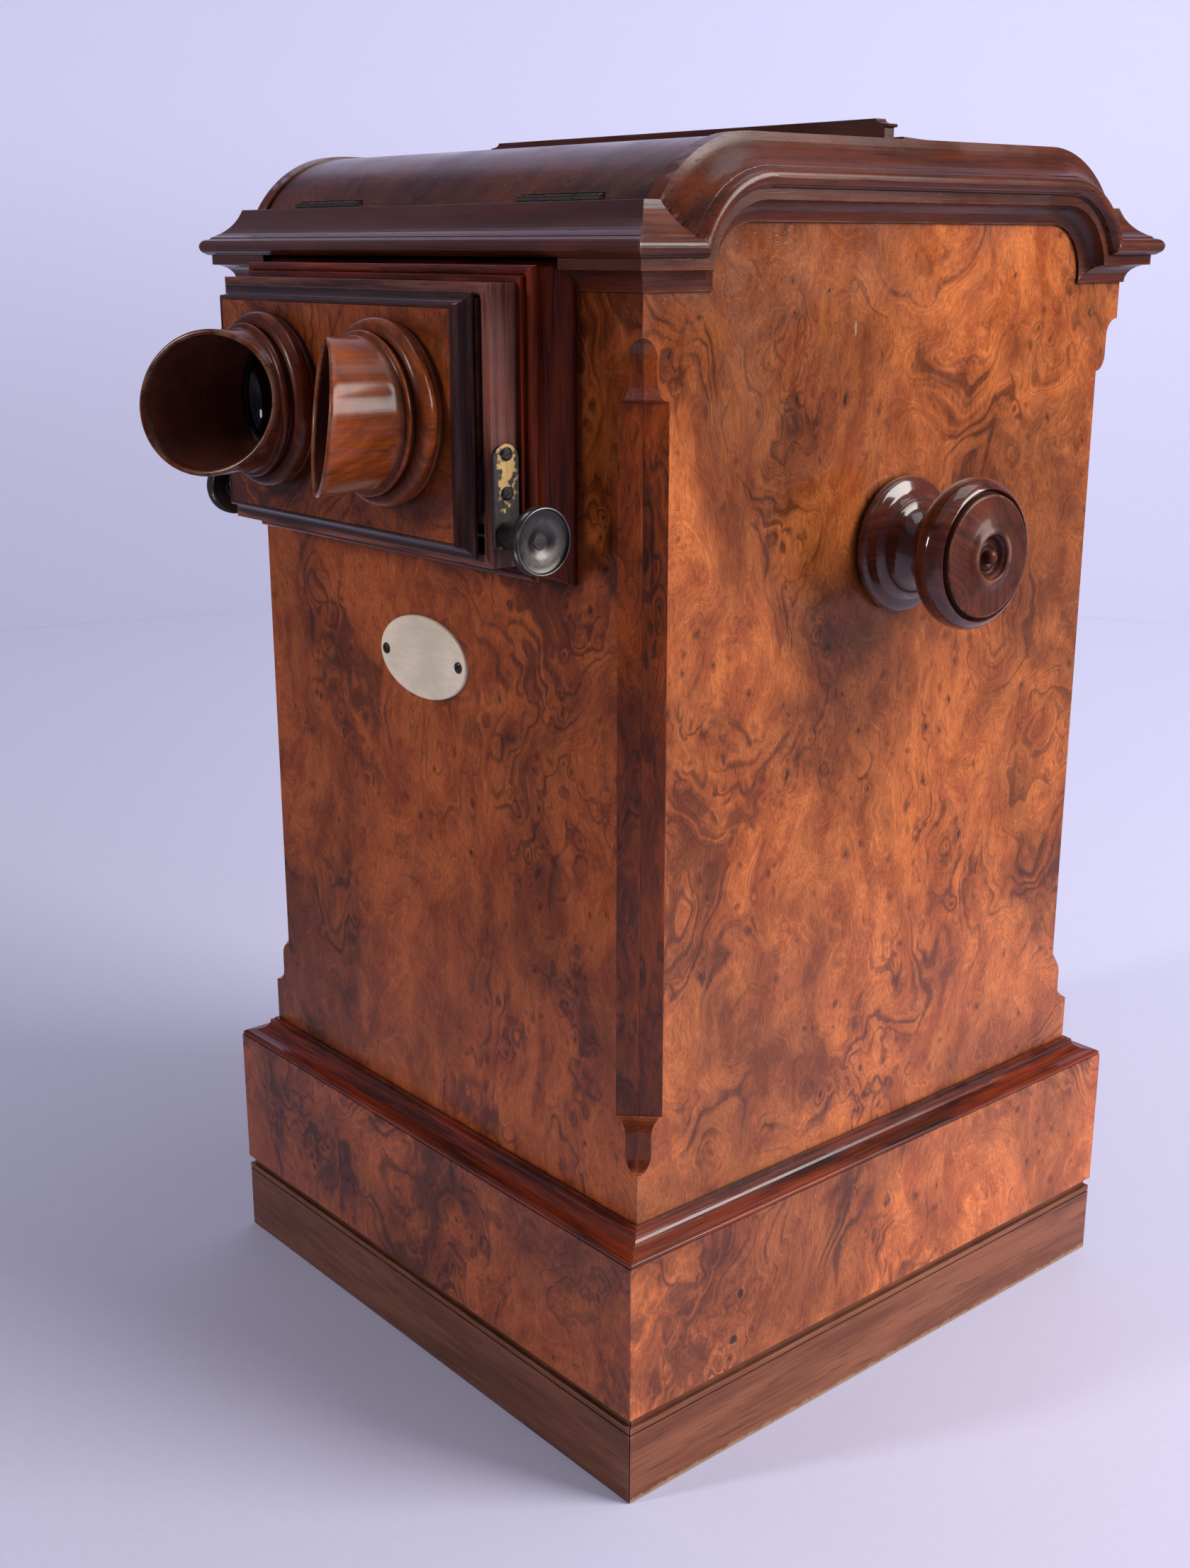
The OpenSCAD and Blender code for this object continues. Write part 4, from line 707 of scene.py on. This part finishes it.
def turning_knobs():
    """The pair of large hand knobs on the card axle."""
    flange, head, end = 23.4, 25.5, 41.5
    gap, axle, bore_end = 0.3, 4.0, 29.5
    ring, button = 8.4, 2.4
    outline = ([(axle, gap), (flange - 1.6, gap)] + arc(flange - 2.4, gap + 2.6, 2.4, -70, 75, 10)
               + [(flange - 4.6, 5.9), (flange - 6.4, 7.4), (flange - 7.2, 8.4), (flange - 7.8, 8.4)]
               + arc(flange - 4.4, 17.2, 9.4, 248, 165, 16)
               + [(head - 10.5, end - 19.4), (head - 8.4, end - 17.2)]
               + arc(head - 7, end - 10, 7, -95, 60, 24)
               + [(head - 4.1, end - 5.6), (head - 4.9, end - 5.6), (head - 5.1, end - 3.0),
                  (head - 5.8, end - 2.7), (head - 9, end - 2.7), (head - 12, end - 2.3),
                  (ring + 3.0, end - 1.8), (ring + 1.6, end - 0.9)]
               + arc(ring, end - 1.4, 1.0, 70, 190, 8)
               + [(6.6, end - 2.2), (6.0, end - 3.4), (5.0, end - 3.8), (4.4, end - 3.2), (3.6, end - 3.2),
                  (3.0, end - 3.8), (button, end - 3.6), (button - 0.1, end - 1.2),
                  (button - 0.8, end - 0.3), (0, end)])
    outline = eased(outline, 0.5, 2) + [(0, bore_end), (axle, bore_end), (axle, gap)]

    def rub(r, h):
        groove = near(r, head - 5.2, 0.7) + near(r, head - 3.7, 0.6) if h > end - 4.0 else 0.0
        bead = near(r, ring, 1.4) if h > end - 2.5 else 0.0
        foot = 0.8 * near(h, 2.9, 2.2) if r > flange - 1.2 else 0.0
        return min(1.0, groove + bead + foot + 0.6 * near(h, end - 17.0, 1.0))

    # Grime with painted shade in the groove, the dish and a step near the flange.
    def grime_and_shade(r, h):
        groove = head - 5.2 < r < head - 3.9 and end - 6.0 < h < end - 3.2
        dish = button <= r < 6.4 and h > end - 4.2
        return min(1.0, groove + dish + 0.8 * near(h, 8.4, 0.6))

    def satin(r, h):
        return 1.0 if r < head - 4.5 and h > end - 3.4 else 0.0

    marks = {"rub": rub, "grime_and_shade": grime_and_shade, "satin": satin}
    verts, faces, spread = joined(
        lathe(outline, lambda a, u, h, s=side: (s * (HALF_W + h), a, AXLE_Z + u), marks=marks)
        for side in (1, -1))
    t = tones()
    material = turned_wood("Turned knob wood", t.turned_dark, t.turned_light, (3.1, 0.4, 0.2), TURN_X,
                           (9.0, 300.0), wear=0.7, coat=(0.8, 0.08))
    piece("hand_knobs", verts, faces, "card_roller", ["turning_knobs"], material, spread)


def hood(side):
    """One hooded eyepiece, its rim cut on a slant towards the nose."""
    flange, rim, seat, spigot, lip = 29.5, 25.2, 19.1, 21.0, 17.0
    length, lean_in, lean_up, neck = 26.3, 0.4791, 0.1244, 11.9
    soft = sizes().rim_round / MM
    rows, bends, steps = 14, 8, sizes().lathe_steps
    base = eased([(lip, -6.0), (spigot, -6.0), (spigot, 0), (flange - 0.9, 0), (flange - 0.9, 1)]
                 + arc(flange - 3.6, 4.4, 3.6, -50, 120, 18)
                 + [(flange - 5.6, 8.3), (flange - 5.0, 9.0)] + arc(flange - 4.9, 10.2, 1.2, -60, 90, 8)
                 + [(rim - 0.9, neck)], 0.35, 2)
    verts, faces, rub, grime_and_shade = [], [], [], []

    def wall(h, low, high):
        return low + (high - low) * min(1.0, max(0.0, (h - 16.0) / 24.0))

    # Grime with painted shade at the steps between the rings and at the base.
    def soiled_and_shaded(h):
        return min(1.0, 0.8 * near(h, 8.4, 1.5) + 0.7 * near(h, neck, 1.1) + 0.5 * near(h, 0.0, 2.0))

    for k in range(steps):
        angle = 2 * math.pi * k / steps
        ca, sa = math.cos(angle), math.sin(angle)
        top = length + rim * (lean_in * ca - lean_up * sa)
        edge = top - soft
        column = [(r, h, 0.0, soiled_and_shaded(h)) for r, h in base]
        for n in range(1, rows + 1):
            h = neck + (edge - neck) * n / rows
            column.append((wall(h, rim - 1.3, rim - 0.3), h, near(h, edge, 1.5), 0.0))
        out_r, in_r = wall(top, rim - 1.3, rim - 0.3), wall(top, rim - 3.4, rim - 2.2)
        mid = (out_r + in_r) / 2
        for n in range(1, bends):
            a = math.pi * n / bends
            column.append((mid + (out_r - mid) * math.cos(a), edge + soft * math.sin(a), 1.0, 0.0))
        # The inside of the hood is fully darkened, as grime with painted shade.
        for n in range(rows + 1):
            share = n / rows
            r = in_r + (seat + 0.8 - in_r) * share
            column.append((r, edge + (5.0 - edge) * share, 0.0 if n else 0.4, 1.0 if n else 0.4))
        column += [(seat, 3.0, 0, 1), (seat, -2.0, 0, 1), (lip, -2.0, 0, 1)]
        count = len(column)
        for r, h, worn, dark in column:
            verts.append((side * (EYE_X + r * ca), FACE_Y - h, EYE_Z + r * sa))
            rub.append(worn)
            grime_and_shade.append(dark)
    inside, first = [], len(base) + rows + bends
    for k in range(steps):
        a, b = k * count, (k + 1) % steps * count
        for n in range(count):
            m = (n + 1) % count
            if first <= n < count - 1:
                inside.append(len(faces))
            faces.append([a + n, b + n, b + m, a + m])
    t = tones()
    tag, depth = ("right", (1.0, 1.0, 1.0)) if side > 0 else ("left", (0.45, 0.36, 0.36))
    dark, light = ([c * d for c, d in zip(wood, depth)] for wood in (t.hood_dark, t.hood_light))
    material = turned_wood("Eyepiece wood " + tag, dark, light, (0.7 * side, 2.0, 0.5), TURN_Y,
                           (-side * EYE_X - 8.0, 345.0), wear=0.5, coat=(0.24, 0.15))
    # The lining is painted dark in the grime tone, as grime with painted shade.
    lining = matt("Hood lining " + tag, t.grime_and_shade, [c * 2.3 for c in t.grime_and_shade], scale=60.0, fine=900.0,
                  rough=(0.75, 0.95))
    lining.node_tree.nodes["Principled BSDF"].inputs["Specular IOR Level"].default_value = 0.12
    piece("hood_" + tag, verts, faces, "lens_slide", ["eyepiece_" + tag], material,
          {"rub": rub, "grime_and_shade": grime_and_shade}, lining=(lining, inside))


def lens_pair():
    """Two polished plano-convex lenses."""
    radius, edge, bulge, inset, rows = 19.0, 1.4, 3.2, 2.0, 16
    dome = (radius * radius + bulge * bulge) / (2 * bulge)
    limit = math.asin(radius / dome)
    outline = [(0, 0), (radius - 0.3, 0), (radius, 0.25), (radius, edge - 0.1)]
    for n in range(1, rows + 1):
        a = limit * (1 - n / rows)
        outline.append((dome * math.sin(a) if n < rows else 0.0, edge + bulge - dome + dome * math.cos(a)))
    verts, faces, _ = joined(
        lathe(outline, lambda a, u, h, s=side: (s * EYE_X + a, FACE_Y + inset - h, EYE_Z + u), 96)
        for side in (1, -1))
    piece("lens_pair", verts, faces, "lens_slide", ["lenses"], lens_glass())


def focus_pair():
    """Finely knurled focus knobs with dished faces and a slotted screw in the middle."""
    head, depth, shaft, neck, base = 10.75, 4.4, 2.5, 4.5, 1.5
    cuts, notch, screw = 96, (0.0, 0.12, 0.26, 0.12), 16
    count = cuts * len(notch)

    def rub(r, lift, end):
        rim = near(r, head - 0.6, 0.5) if lift > end - 0.3 * depth else 0.0
        face = 0.55 * near(r, head * 0.55, head * 0.22) if lift > end - 0.6 * depth else 0.0
        return min(1.0, rim + face + 0.12)

    parts = []
    for side, end in ((1, 19.5), (-1, 12.3)):
        def down(share):
            return end - share * depth

        def place(a, u, lift):
            return side * (BOX_HALF_W + lift), SHAFT_Y + a, SHAFT_Z + u

        outline = ([(shaft, base), (neck, base), (neck, down(1)), (head - 0.5, down(1))]
                   + [(head - 0.5, down(0.2))]
                   + arc(head - 0.6, down(0.11), 0.11 * depth, -30, 120, 6)
                   + [(head * r, down(d)) for r, d in ((0.90, 0.22), (0.74, 0.30), (0.55, 0.32), (0.40, 0.40),
                                                      (0.28, 0.52), (0, 0.54))])
        outline = eased(outline, 0.4) + [(0, down(0.8)), (shaft, down(0.8)), (shaft, base)]
        parts.append(lathe(outline, place, 120, {"rub": lambda r, lift: rub(r, lift, end)}))
        band, quads = [], []
        levels = [down(d) for d in (0.92, 0.86, 0.25, 0.19, 0.19, 0.92)]
        for n, lift in enumerate(levels):
            for k in range(count):
                angle = 2 * math.pi * k / count
                radius = head - notch[k % len(notch)] - (0.2 if n in (0, 3) else 0.0)
                radius = head - 1.2 if n > 3 else radius
                band.append(place(radius * math.cos(angle), radius * math.sin(angle), lift))
        for n in range(len(levels)):
            a, b = n * count, (n + 1) % len(levels) * count
            for k in range(count):
                m = (k + 1) % count
                quads.append([a + k, a + m, b + m, b + k])
        parts.append((band, quads, {"rub": [0.3] * len(band)}))
        for half in (1, -1):
            rim = [(2.4 * math.cos(a), half * (0.25 + 2.1 * math.sin(a)))
                   for a in (math.pi * k / screw for k in range(screw + 1))]
            turn = len(rim)
            cap = [place(y, z, down(0.56 - 0.1 * lift)) for lift in (0, 1) for y, z in rim]
            sides = [[k, k + 1, k + 1 + turn, k + turn] for k in range(screw)]
            sides += [[screw, 0, turn, screw + turn], list(range(turn))[::-1], list(range(turn, 2 * turn))]
            parts.append((cap, sides, {"rub": [0.25] * len(cap)}))
    verts, faces, spread = joined(parts)
    piece("focus_heads", verts, faces, "focus_shaft", ["focus_knobs"], rubbed_bronze(),
          spread, 50)


def plaque():
    """Bare oval plaque with a rounded edge and a fine line cut round it."""
    half_w, half_h, thick, steps = 26.0, 15.0, 1.2, 144
    rings = [(0.0, 0.0), (0.0, 0.7), (0.25, 1.05), (0.6, thick), (2.4, thick), (2.8, thick - 0.12),
             (3.2, thick)]
    verts, faces = [], []
    for cut, lift in rings:
        for k in range(steps):
            a = 2 * math.pi * k / steps
            verts.append(((half_w - cut) * math.cos(a), -HALF_D - lift,
                          PLAQUE_Z + (half_h - cut) * math.sin(a)))
    last = (len(rings) - 1) * steps
    for n in range(0, last, steps):
        for k in range(steps):
            m = (k + 1) % steps
            faces.append([n + k, n + m, n + steps + m, n + steps + k])
    faces += [list(range(steps))[::-1], list(range(last, last + steps))]
    t = tones()
    material = matt("Old ivory", [c * 0.78 for c in t.ivory], t.ivory, scale=45.0, fine=800.0,
                    rough=(0.28, 0.5), stretch=(0.15, 1, 1))
    piece("oval_plaque", verts, faces, "cabinet", ["plaque"], material, None, 45)


def backdrop(scene):
    """A floor that curves up into a wall all round, pale where the camera looks and darker elsewhere, with
    painted shade low down and on the left.
    """
    floor_r, sunk, curve, near_r, top = 6000.0, 0.4, 1700, 1500, 3400
    verts, faces, _ = lathe([(0.0, -sunk), (floor_r, -sunk)], lambda a, u, h: (a, u, h), 96)
    sweep = [math.radians(d) for d in range(0, 361, 4)]
    rise = [(near_r + curve * math.sin(a), curve - curve * math.cos(a) - 0.3)
            for a in (math.radians(d) for d in range(0, 91))] + [(near_r + curve, top)]
    start, count = len(verts), len(rise)
    verts += [(r * math.cos(a), r * math.sin(a), h) for a in sweep for r, h in rise]
    for k in range(len(sweep) - 1):
        for n in range(count - 1):
            a = start + k * count + n
            faces.append([a, a + 1, a + count + 1, a + count])
    mesh = bpy.data.meshes.new("Stage")
    mesh.from_pydata([Vector(v) * MM for v in verts], [], faces)
    for face in mesh.polygons:
        face.use_smooth = True
    floor = bpy.data.objects.new("Stage", mesh)
    scene.collection.objects.link(floor)
    material, net, shader, place = blank("Stage paper")
    base = tones().stage
    paper = net.mix(net.span(net.noise(place, 260.0, 3.0), 0.3, 0.7), [c * 0.98 for c in base], base)
    aside = net.vec("DOT_PRODUCT", place, (math.cos(YAW), math.sin(YAW), 0.0))
    away = net.vec("DOT_PRODUCT", place, (-math.sin(YAW), math.cos(YAW), 0.0))
    # Painted shade: darker low down on the floor and wall, and more so on the left.
    low = net.span(net.apart(place)[2], 0.0, 0.7, 1.0, 0.0)
    left = net.span(aside, -0.5, 0.2, 1.0, 0.0)
    painted_shade = net.times(low, net.math("MULTIPLY_ADD", left, 0.13, 0.11))
    paper = net.mix(painted_shade, paper, (0.0, 0.0, 0.0))
    across = net.math("MAXIMUM", net.minus(aside, 0.15), net.times(aside, -1.0))
    outside = net.minus(across, net.math("MULTIPLY_ADD", away, 0.36, 0.30))
    paper = net.mix(net.span(outside, 0.0, 0.35), paper, [c * 0.3 for c in base])
    net.fill(shader, Base_Color=paper, Roughness=0.9)
    wear_material(floor, material)


def lamp(name, place, aim, size, power, colour):
    """A soft rectangular lamp."""
    data = bpy.data.lights.new(name, "AREA")
    data.shape = "RECTANGLE"
    data.size, data.size_y = size
    data.energy, data.color = power, colour
    obj = bpy.data.objects.new(name, data)
    bpy.context.scene.collection.objects.link(obj)
    obj.location = place
    obj.rotation_euler = (Vector(aim) - Vector(place)).to_track_quat("-Z", "Y").to_euler()


def camera(scene):
    """Looks down at the near corner of the cabinet."""
    pitch, roll, stand = 0.2844, -0.0008, (0.53066, -0.49175, 0.41736)
    cam = bpy.data.cameras.new("Camera")
    cam.lens, cam.sensor_width, cam.clip_start = 42.325, 36.0, 0.01
    obj = bpy.data.objects.new("Camera", cam)
    scene.collection.objects.link(obj)
    ahead = Vector((-math.sin(YAW) * math.cos(pitch), math.cos(YAW) * math.cos(pitch), -math.sin(pitch)))
    right = Vector((math.cos(YAW), math.sin(YAW), 0.0))
    up = right.cross(ahead)
    right, up = (right * math.cos(roll) + up * math.sin(roll),
                 up * math.cos(roll) - right * math.sin(roll))
    matrix = Matrix((right, up, -ahead)).transposed().to_4x4()
    matrix.translation = stand
    obj.matrix_world = matrix
    scene.camera = obj


# Operators


class Step(bpy.types.Operator):
    """Shared start of the building steps."""

    bl_options = {"REGISTER"}


class OBJECT_OT_stereoscope_stage(Step):
    """Floor, backdrop, lamps and camera"""

    bl_idname = "object.stereoscope_stage"
    bl_label = "Stage"

    def execute(self, context):
        scene = context.scene
        scene.view_settings.view_transform = "Standard"
        backdrop(scene)
        world = bpy.data.worlds.new("World")
        scene.world = world
        world.use_nodes = True
        back = world.node_tree.nodes["Background"]
        back.inputs["Color"].default_value = (0.88, 0.88, 1.0, 1.0)
        back.inputs["Strength"].default_value = 0.42
        lamp("Key", (1.5, 0.95, 1.15), (0, 0, 0.2), (1.0, 1.2), 48.0, (1.0, 0.97, 0.95))
        lamp("Window", (-0.5, -1.7, 0.9), (0, 0, 0.3), (0.18, 0.36), 13.0, (1.0, 0.97, 0.94))
        lamp("Top", (0.5, 0.6, 2.2), (0.1, 0.2, 0.0), (1.2, 1.2), 9.0, (0.95, 0.95, 1.0))
        lamp("Backdrop", (-0.45, 1.5, 1.9), (-1.6, 2.2, 0.9), (1.4, 0.8), 19.0, (1.0, 1.0, 1.0))
        lamp("Upper wall", (-1.0, -1.2, 1.5), (-2.8, 0.8, 2.4), (1.2, 1.2), 22.0, (0.92, 0.92, 1.0))
        camera(scene)
        return {"FINISHED"}


class OBJECT_OT_stereoscope_cabinet(Step):
    """Veneered panels, skirt, plinth and mouldings"""

    bl_idname = "object.stereoscope_cabinet"
    bl_label = "Cabinet"

    def execute(self, context):
        t = tones()
        hole_and_nick = (((-39.3, 403.2, 0.7, 0.8), t.burr_deep), ((-26.2, 391.4, 0.5, 2.6), t.raw_light))
        knots = (((-79.8, 61.6, 1.6, 2.2), t.burr_deep), ((-82.8, 44.3, 2.0, 2.0), t.burr_deep))
        dress("right_panel", burr_wood("Burr right", (0.31, 1.7, 0.05), chamfered=True, marks=hole_and_nick))
        dress("left_panel", burr_wood("Burr left", (2.9, 0.6, 0.7), chamfered=True))
        # Front and back panels: a redder tint that also darkens them as painted shade.
        dress("front_panel", burr_wood("Burr front", (1.2, 3.1, 0.35), (0.74, 0.62, 0.54), chamfered=True))
        dress("back_panel", burr_wood("Burr back", (5.0, 4.2, 1.1), (0.75, 0.70, 0.70), chamfered=True))
        for index, side in enumerate(("front", "back", "left", "right")):
            broad = side in ("front", "back")
            turn = TURN_X if broad else TURN_Y
            # Painted light and shade: front and back plinths darker, side plinths brighter than their veneer,
            # as shaded and lit copies.
            shade = (0.72, 0.62, 0.60) if broad else (1.36, 1.36, 1.42)
            # Painted shade: front and back skirts are darker copies of the side skirt tones.
            skirt = [[c * (0.62 if broad else 1.0) for c in wood] for wood in (t.skirt_dark, t.skirt_light)]
            dress("skirt_" + side, plain_wood(
                "Skirt " + side, *skirt, turn, (index * 1.3, 0.2, 0.7), wear=0.7, width=0.0025,
                rough=(0.3, 0.5), gloss=0.3, foot=not broad))
            dress("plinth_" + side, burr_wood(
                "Burr plinth " + side, (index * 0.9 - 1.9, 1.4, index - 0.4), shade,
                marks=knots if side == "right" else ()))
            dress("plinth_moulding_" + side, plain_wood(
                "Plinth moulding " + side, t.frame_dark, t.frame_light, turn, (index, 1.1, 0.3), wear=0.4,
                gloss=0.4), 0.5)
            # Painted light: side cornices take the lighter copy of the cornice tone.
            light, rough = (t.cornice_front, (0.10, 0.2)) if broad else (t.cornice_side_lit, (0.2, 0.34))
            # The long reach lets painted shade and dirt darken the cornice coves.
            dress("cornice_" + side, plain_wood(
                "Cornice " + side, t.cornice_dark, light, turn, (0.4, index, 1.9), wear=0.35, width=0.0016,
                rough=rough, gloss=0.8 if side == "front" else 0.3, reach=0.016), 0.5)
        raw, upright = (plain_wood(name, t.raw_dark, t.raw_light, turn, seed, wear=0.0, width=0.001,
                                   rough=(0.7, 0.9), gloss=0.0)
                        for name, turn, seed in (("Raw wood", TURN_X, (4, 4, 4)),
                                                 ("Raw upright wood", TURN_Z, (2, 4, 1))))
        for node in ("base_board", "top_rails", "roller", "slide_runners"):
            dress(node, raw, 0)
        dress("corner_blocks", upright, 0)
        dress("septum", plain_wood("Blackened wood", (0.008, 0.007, 0.006), (0.03, 0.026, 0.022), TURN_Z,
                                   (1, 2, 3), wear=0.1, width=0.001, rough=(0.6, 0.85), gloss=0.0), 0)
        return {"FINISHED"}


class OBJECT_OT_stereoscope_lids(Step):
    """Curved light lids with strip, mirror and hinges"""

    bl_idname = "object.stereoscope_lids"
    bl_label = "Lids"

    def execute(self, context):
        t = tones()
        dress("front_lid", burr_wood("Front lid veneer", (7, 1, 2), (0.20, 0.165, 0.19), gloss=0.6), 0.8)
        dress("rear_lid", plain_wood("Rear lid wood", t.walnut_dark, t.lid_end, seed=(3, 1, 5), wear=0.4,
                                     width=0.002, rough=(0.45, 0.7), gloss=0.3), 0.8)
        dress("lid_strip", plain_wood("Strip wood", t.walnut_dark, t.walnut_light, seed=(5, 6, 2), wear=0.7,
                                      width=0.0016), 0.5)
        dress("lid_mirror", mirror_glass(), 0.5)
        dress("mirror_cleats", plain_wood("Cleat wood", t.walnut_dark, t.walnut_light, seed=(1, 5, 1)), 0.5)
        iron = metal("Hinge iron", t.iron, t.tarnish, rough=(0.4, 0.65), patch=(0.4, 0.6), scale=300.0)
        for node in ("hinge_fixed_leaves", "front_lid_leaves", "rear_lid_leaves"):
            dress(node, iron, 0.3)
        dress("hinge_pins", metal("Pin steel", t.steel, t.tarnish, rough=(0.3, 0.5), patch=(0.35, 0.6),
                                  scale=300.0), 0)
        return {"FINISHED"}


class OBJECT_OT_stereoscope_lens_front(Step):
    """Lens box, sliding panel, hooded eyepieces and lenses"""

    bl_idname = "object.stereoscope_lens_front"
    bl_label = "Lens front"

    def execute(self, context):
        t = tones()
        dress("lens_frame", plain_wood("Frame wood", t.frame_dark, t.frame_light, seed=(2, 2, 0), wear=0.3,
                                       gloss=0.3, mitre=(BOX_HALF_W, BOX_HALF_H, BOX_MID_Z)), 0.5)
        dress("lens_box", plain_wood("Box wood", t.box_dark, t.box_light, seed=(1, 0, 4), wear=0.3,
                                     rough=(0.2, 0.4),
                                     mitre=(BOX_HALF_W - 4.0, BOX_HALF_H - 4.0, BOX_MID_Z)), 0.6)
        # The lens panel takes the same redder tint, darkened as painted shade.
        dress("lens_panel", burr_wood("Burr lens panel", (3.9, 5.1, 2.2), (0.72, 0.62, 0.55)), 0.5)
        dress("panel_moulding", plain_wood("Panel moulding", t.ebony_dark, t.ebony_light, seed=(3, 0, 2),
                                           wear=0.3, mitre=(PANEL_HALF_W, PANEL_HALF_H, BOX_MID_Z)), 0.5)
        dress("slide_tray", plain_wood("Tray wood", t.ebony_dark, t.ebony_light, TURN_Y, (5, 3, 1),
                                       wear=0.2), 0)
        hood(1)
        hood(-1)
        lens_pair()
        dress("lens_rings", metal("Ring metal", t.tarnish, t.iron, rough=(0.4, 0.6), patch=(0.4, 0.6),
                                  scale=300.0), 0.3)
        return {"FINISHED"}


class OBJECT_OT_stereoscope_drives(Step):
    """Focus drive, turning knobs, card band and plaque"""

    bl_idname = "object.stereoscope_drives"
    bl_label = "Drives and cards"

    def execute(self, context):
        t = tones()
        steel = metal("Axle steel", t.steel, t.tarnish, rough=(0.28, 0.5), patch=(0.35, 0.6), scale=260.0,
                      grain=(0.1, 1, 1))
        brass = metal("Gear brass", t.brass, t.tarnish, rough=(0.25, 0.5), patch=(0.35, 0.6), scale=200.0)
        dark = metal("Screw steel", t.iron, t.tarnish, rough=(0.4, 0.6), patch=(0.4, 0.6), scale=500.0)
        for node in ("axle", "pinion_shaft"):
            dress(node, steel, 0)
        for node in ("pinions", "racks", "axle_bushes"):
            dress(node, brass, 0)
        dress("bearing_plates", worn_plate(), 0.4)
        for node in ("plate_screws", "plaque_screws"):
            dress(node, dark, 0.15)
        focus_pair()
        turning_knobs()
        plaque()
        dress("card_tapes", cloth_tape(), 0)
        dress("card_holders", metal("Tinplate", (0.55, 0.55, 0.53), t.tarnish, rough=(0.35, 0.6),
                                    patch=(0.35, 0.55), scale=120.0), 0)
        dress("cards", card_face(), 0)
        return {"FINISHED"}


class VIEW3D_PT_stereoscope(bpy.types.Panel):
    """Sizes, colours and building steps in the sidebar"""

    bl_label = "Stereoscope"
    bl_space_type = "VIEW_3D"
    bl_region_type = "UI"
    bl_category = "Stereoscope"

    def draw(self, context):
        for settings in (context.scene.stereoscope_sizes, context.scene.stereoscope_tones):
            for name in settings.__annotations__:
                self.layout.prop(settings, name)
        for step in STEPS:
            self.layout.operator(step.bl_idname)


STEPS = (OBJECT_OT_stereoscope_stage, OBJECT_OT_stereoscope_cabinet, OBJECT_OT_stereoscope_lids,
         OBJECT_OT_stereoscope_lens_front, OBJECT_OT_stereoscope_drives)
CLASSES = (StereoscopeTones, StereoscopeSizes, *STEPS, VIEW3D_PT_stereoscope)


def register():
    for cls in CLASSES:
        bpy.utils.register_class(cls)
    bpy.types.Scene.stereoscope_tones = PointerProperty(type=StereoscopeTones)
    bpy.types.Scene.stereoscope_sizes = PointerProperty(type=StereoscopeSizes)


def unregister():
    del bpy.types.Scene.stereoscope_sizes
    del bpy.types.Scene.stereoscope_tones
    for cls in reversed(CLASSES):
        bpy.utils.unregister_class(cls)


def main():
    register()
    bpy.ops.object.stereoscope_stage()
    bpy.ops.object.stereoscope_cabinet()
    bpy.ops.object.stereoscope_lids()
    bpy.ops.object.stereoscope_lens_front()
    bpy.ops.object.stereoscope_drives()


if __name__ == "__main__":
    main()
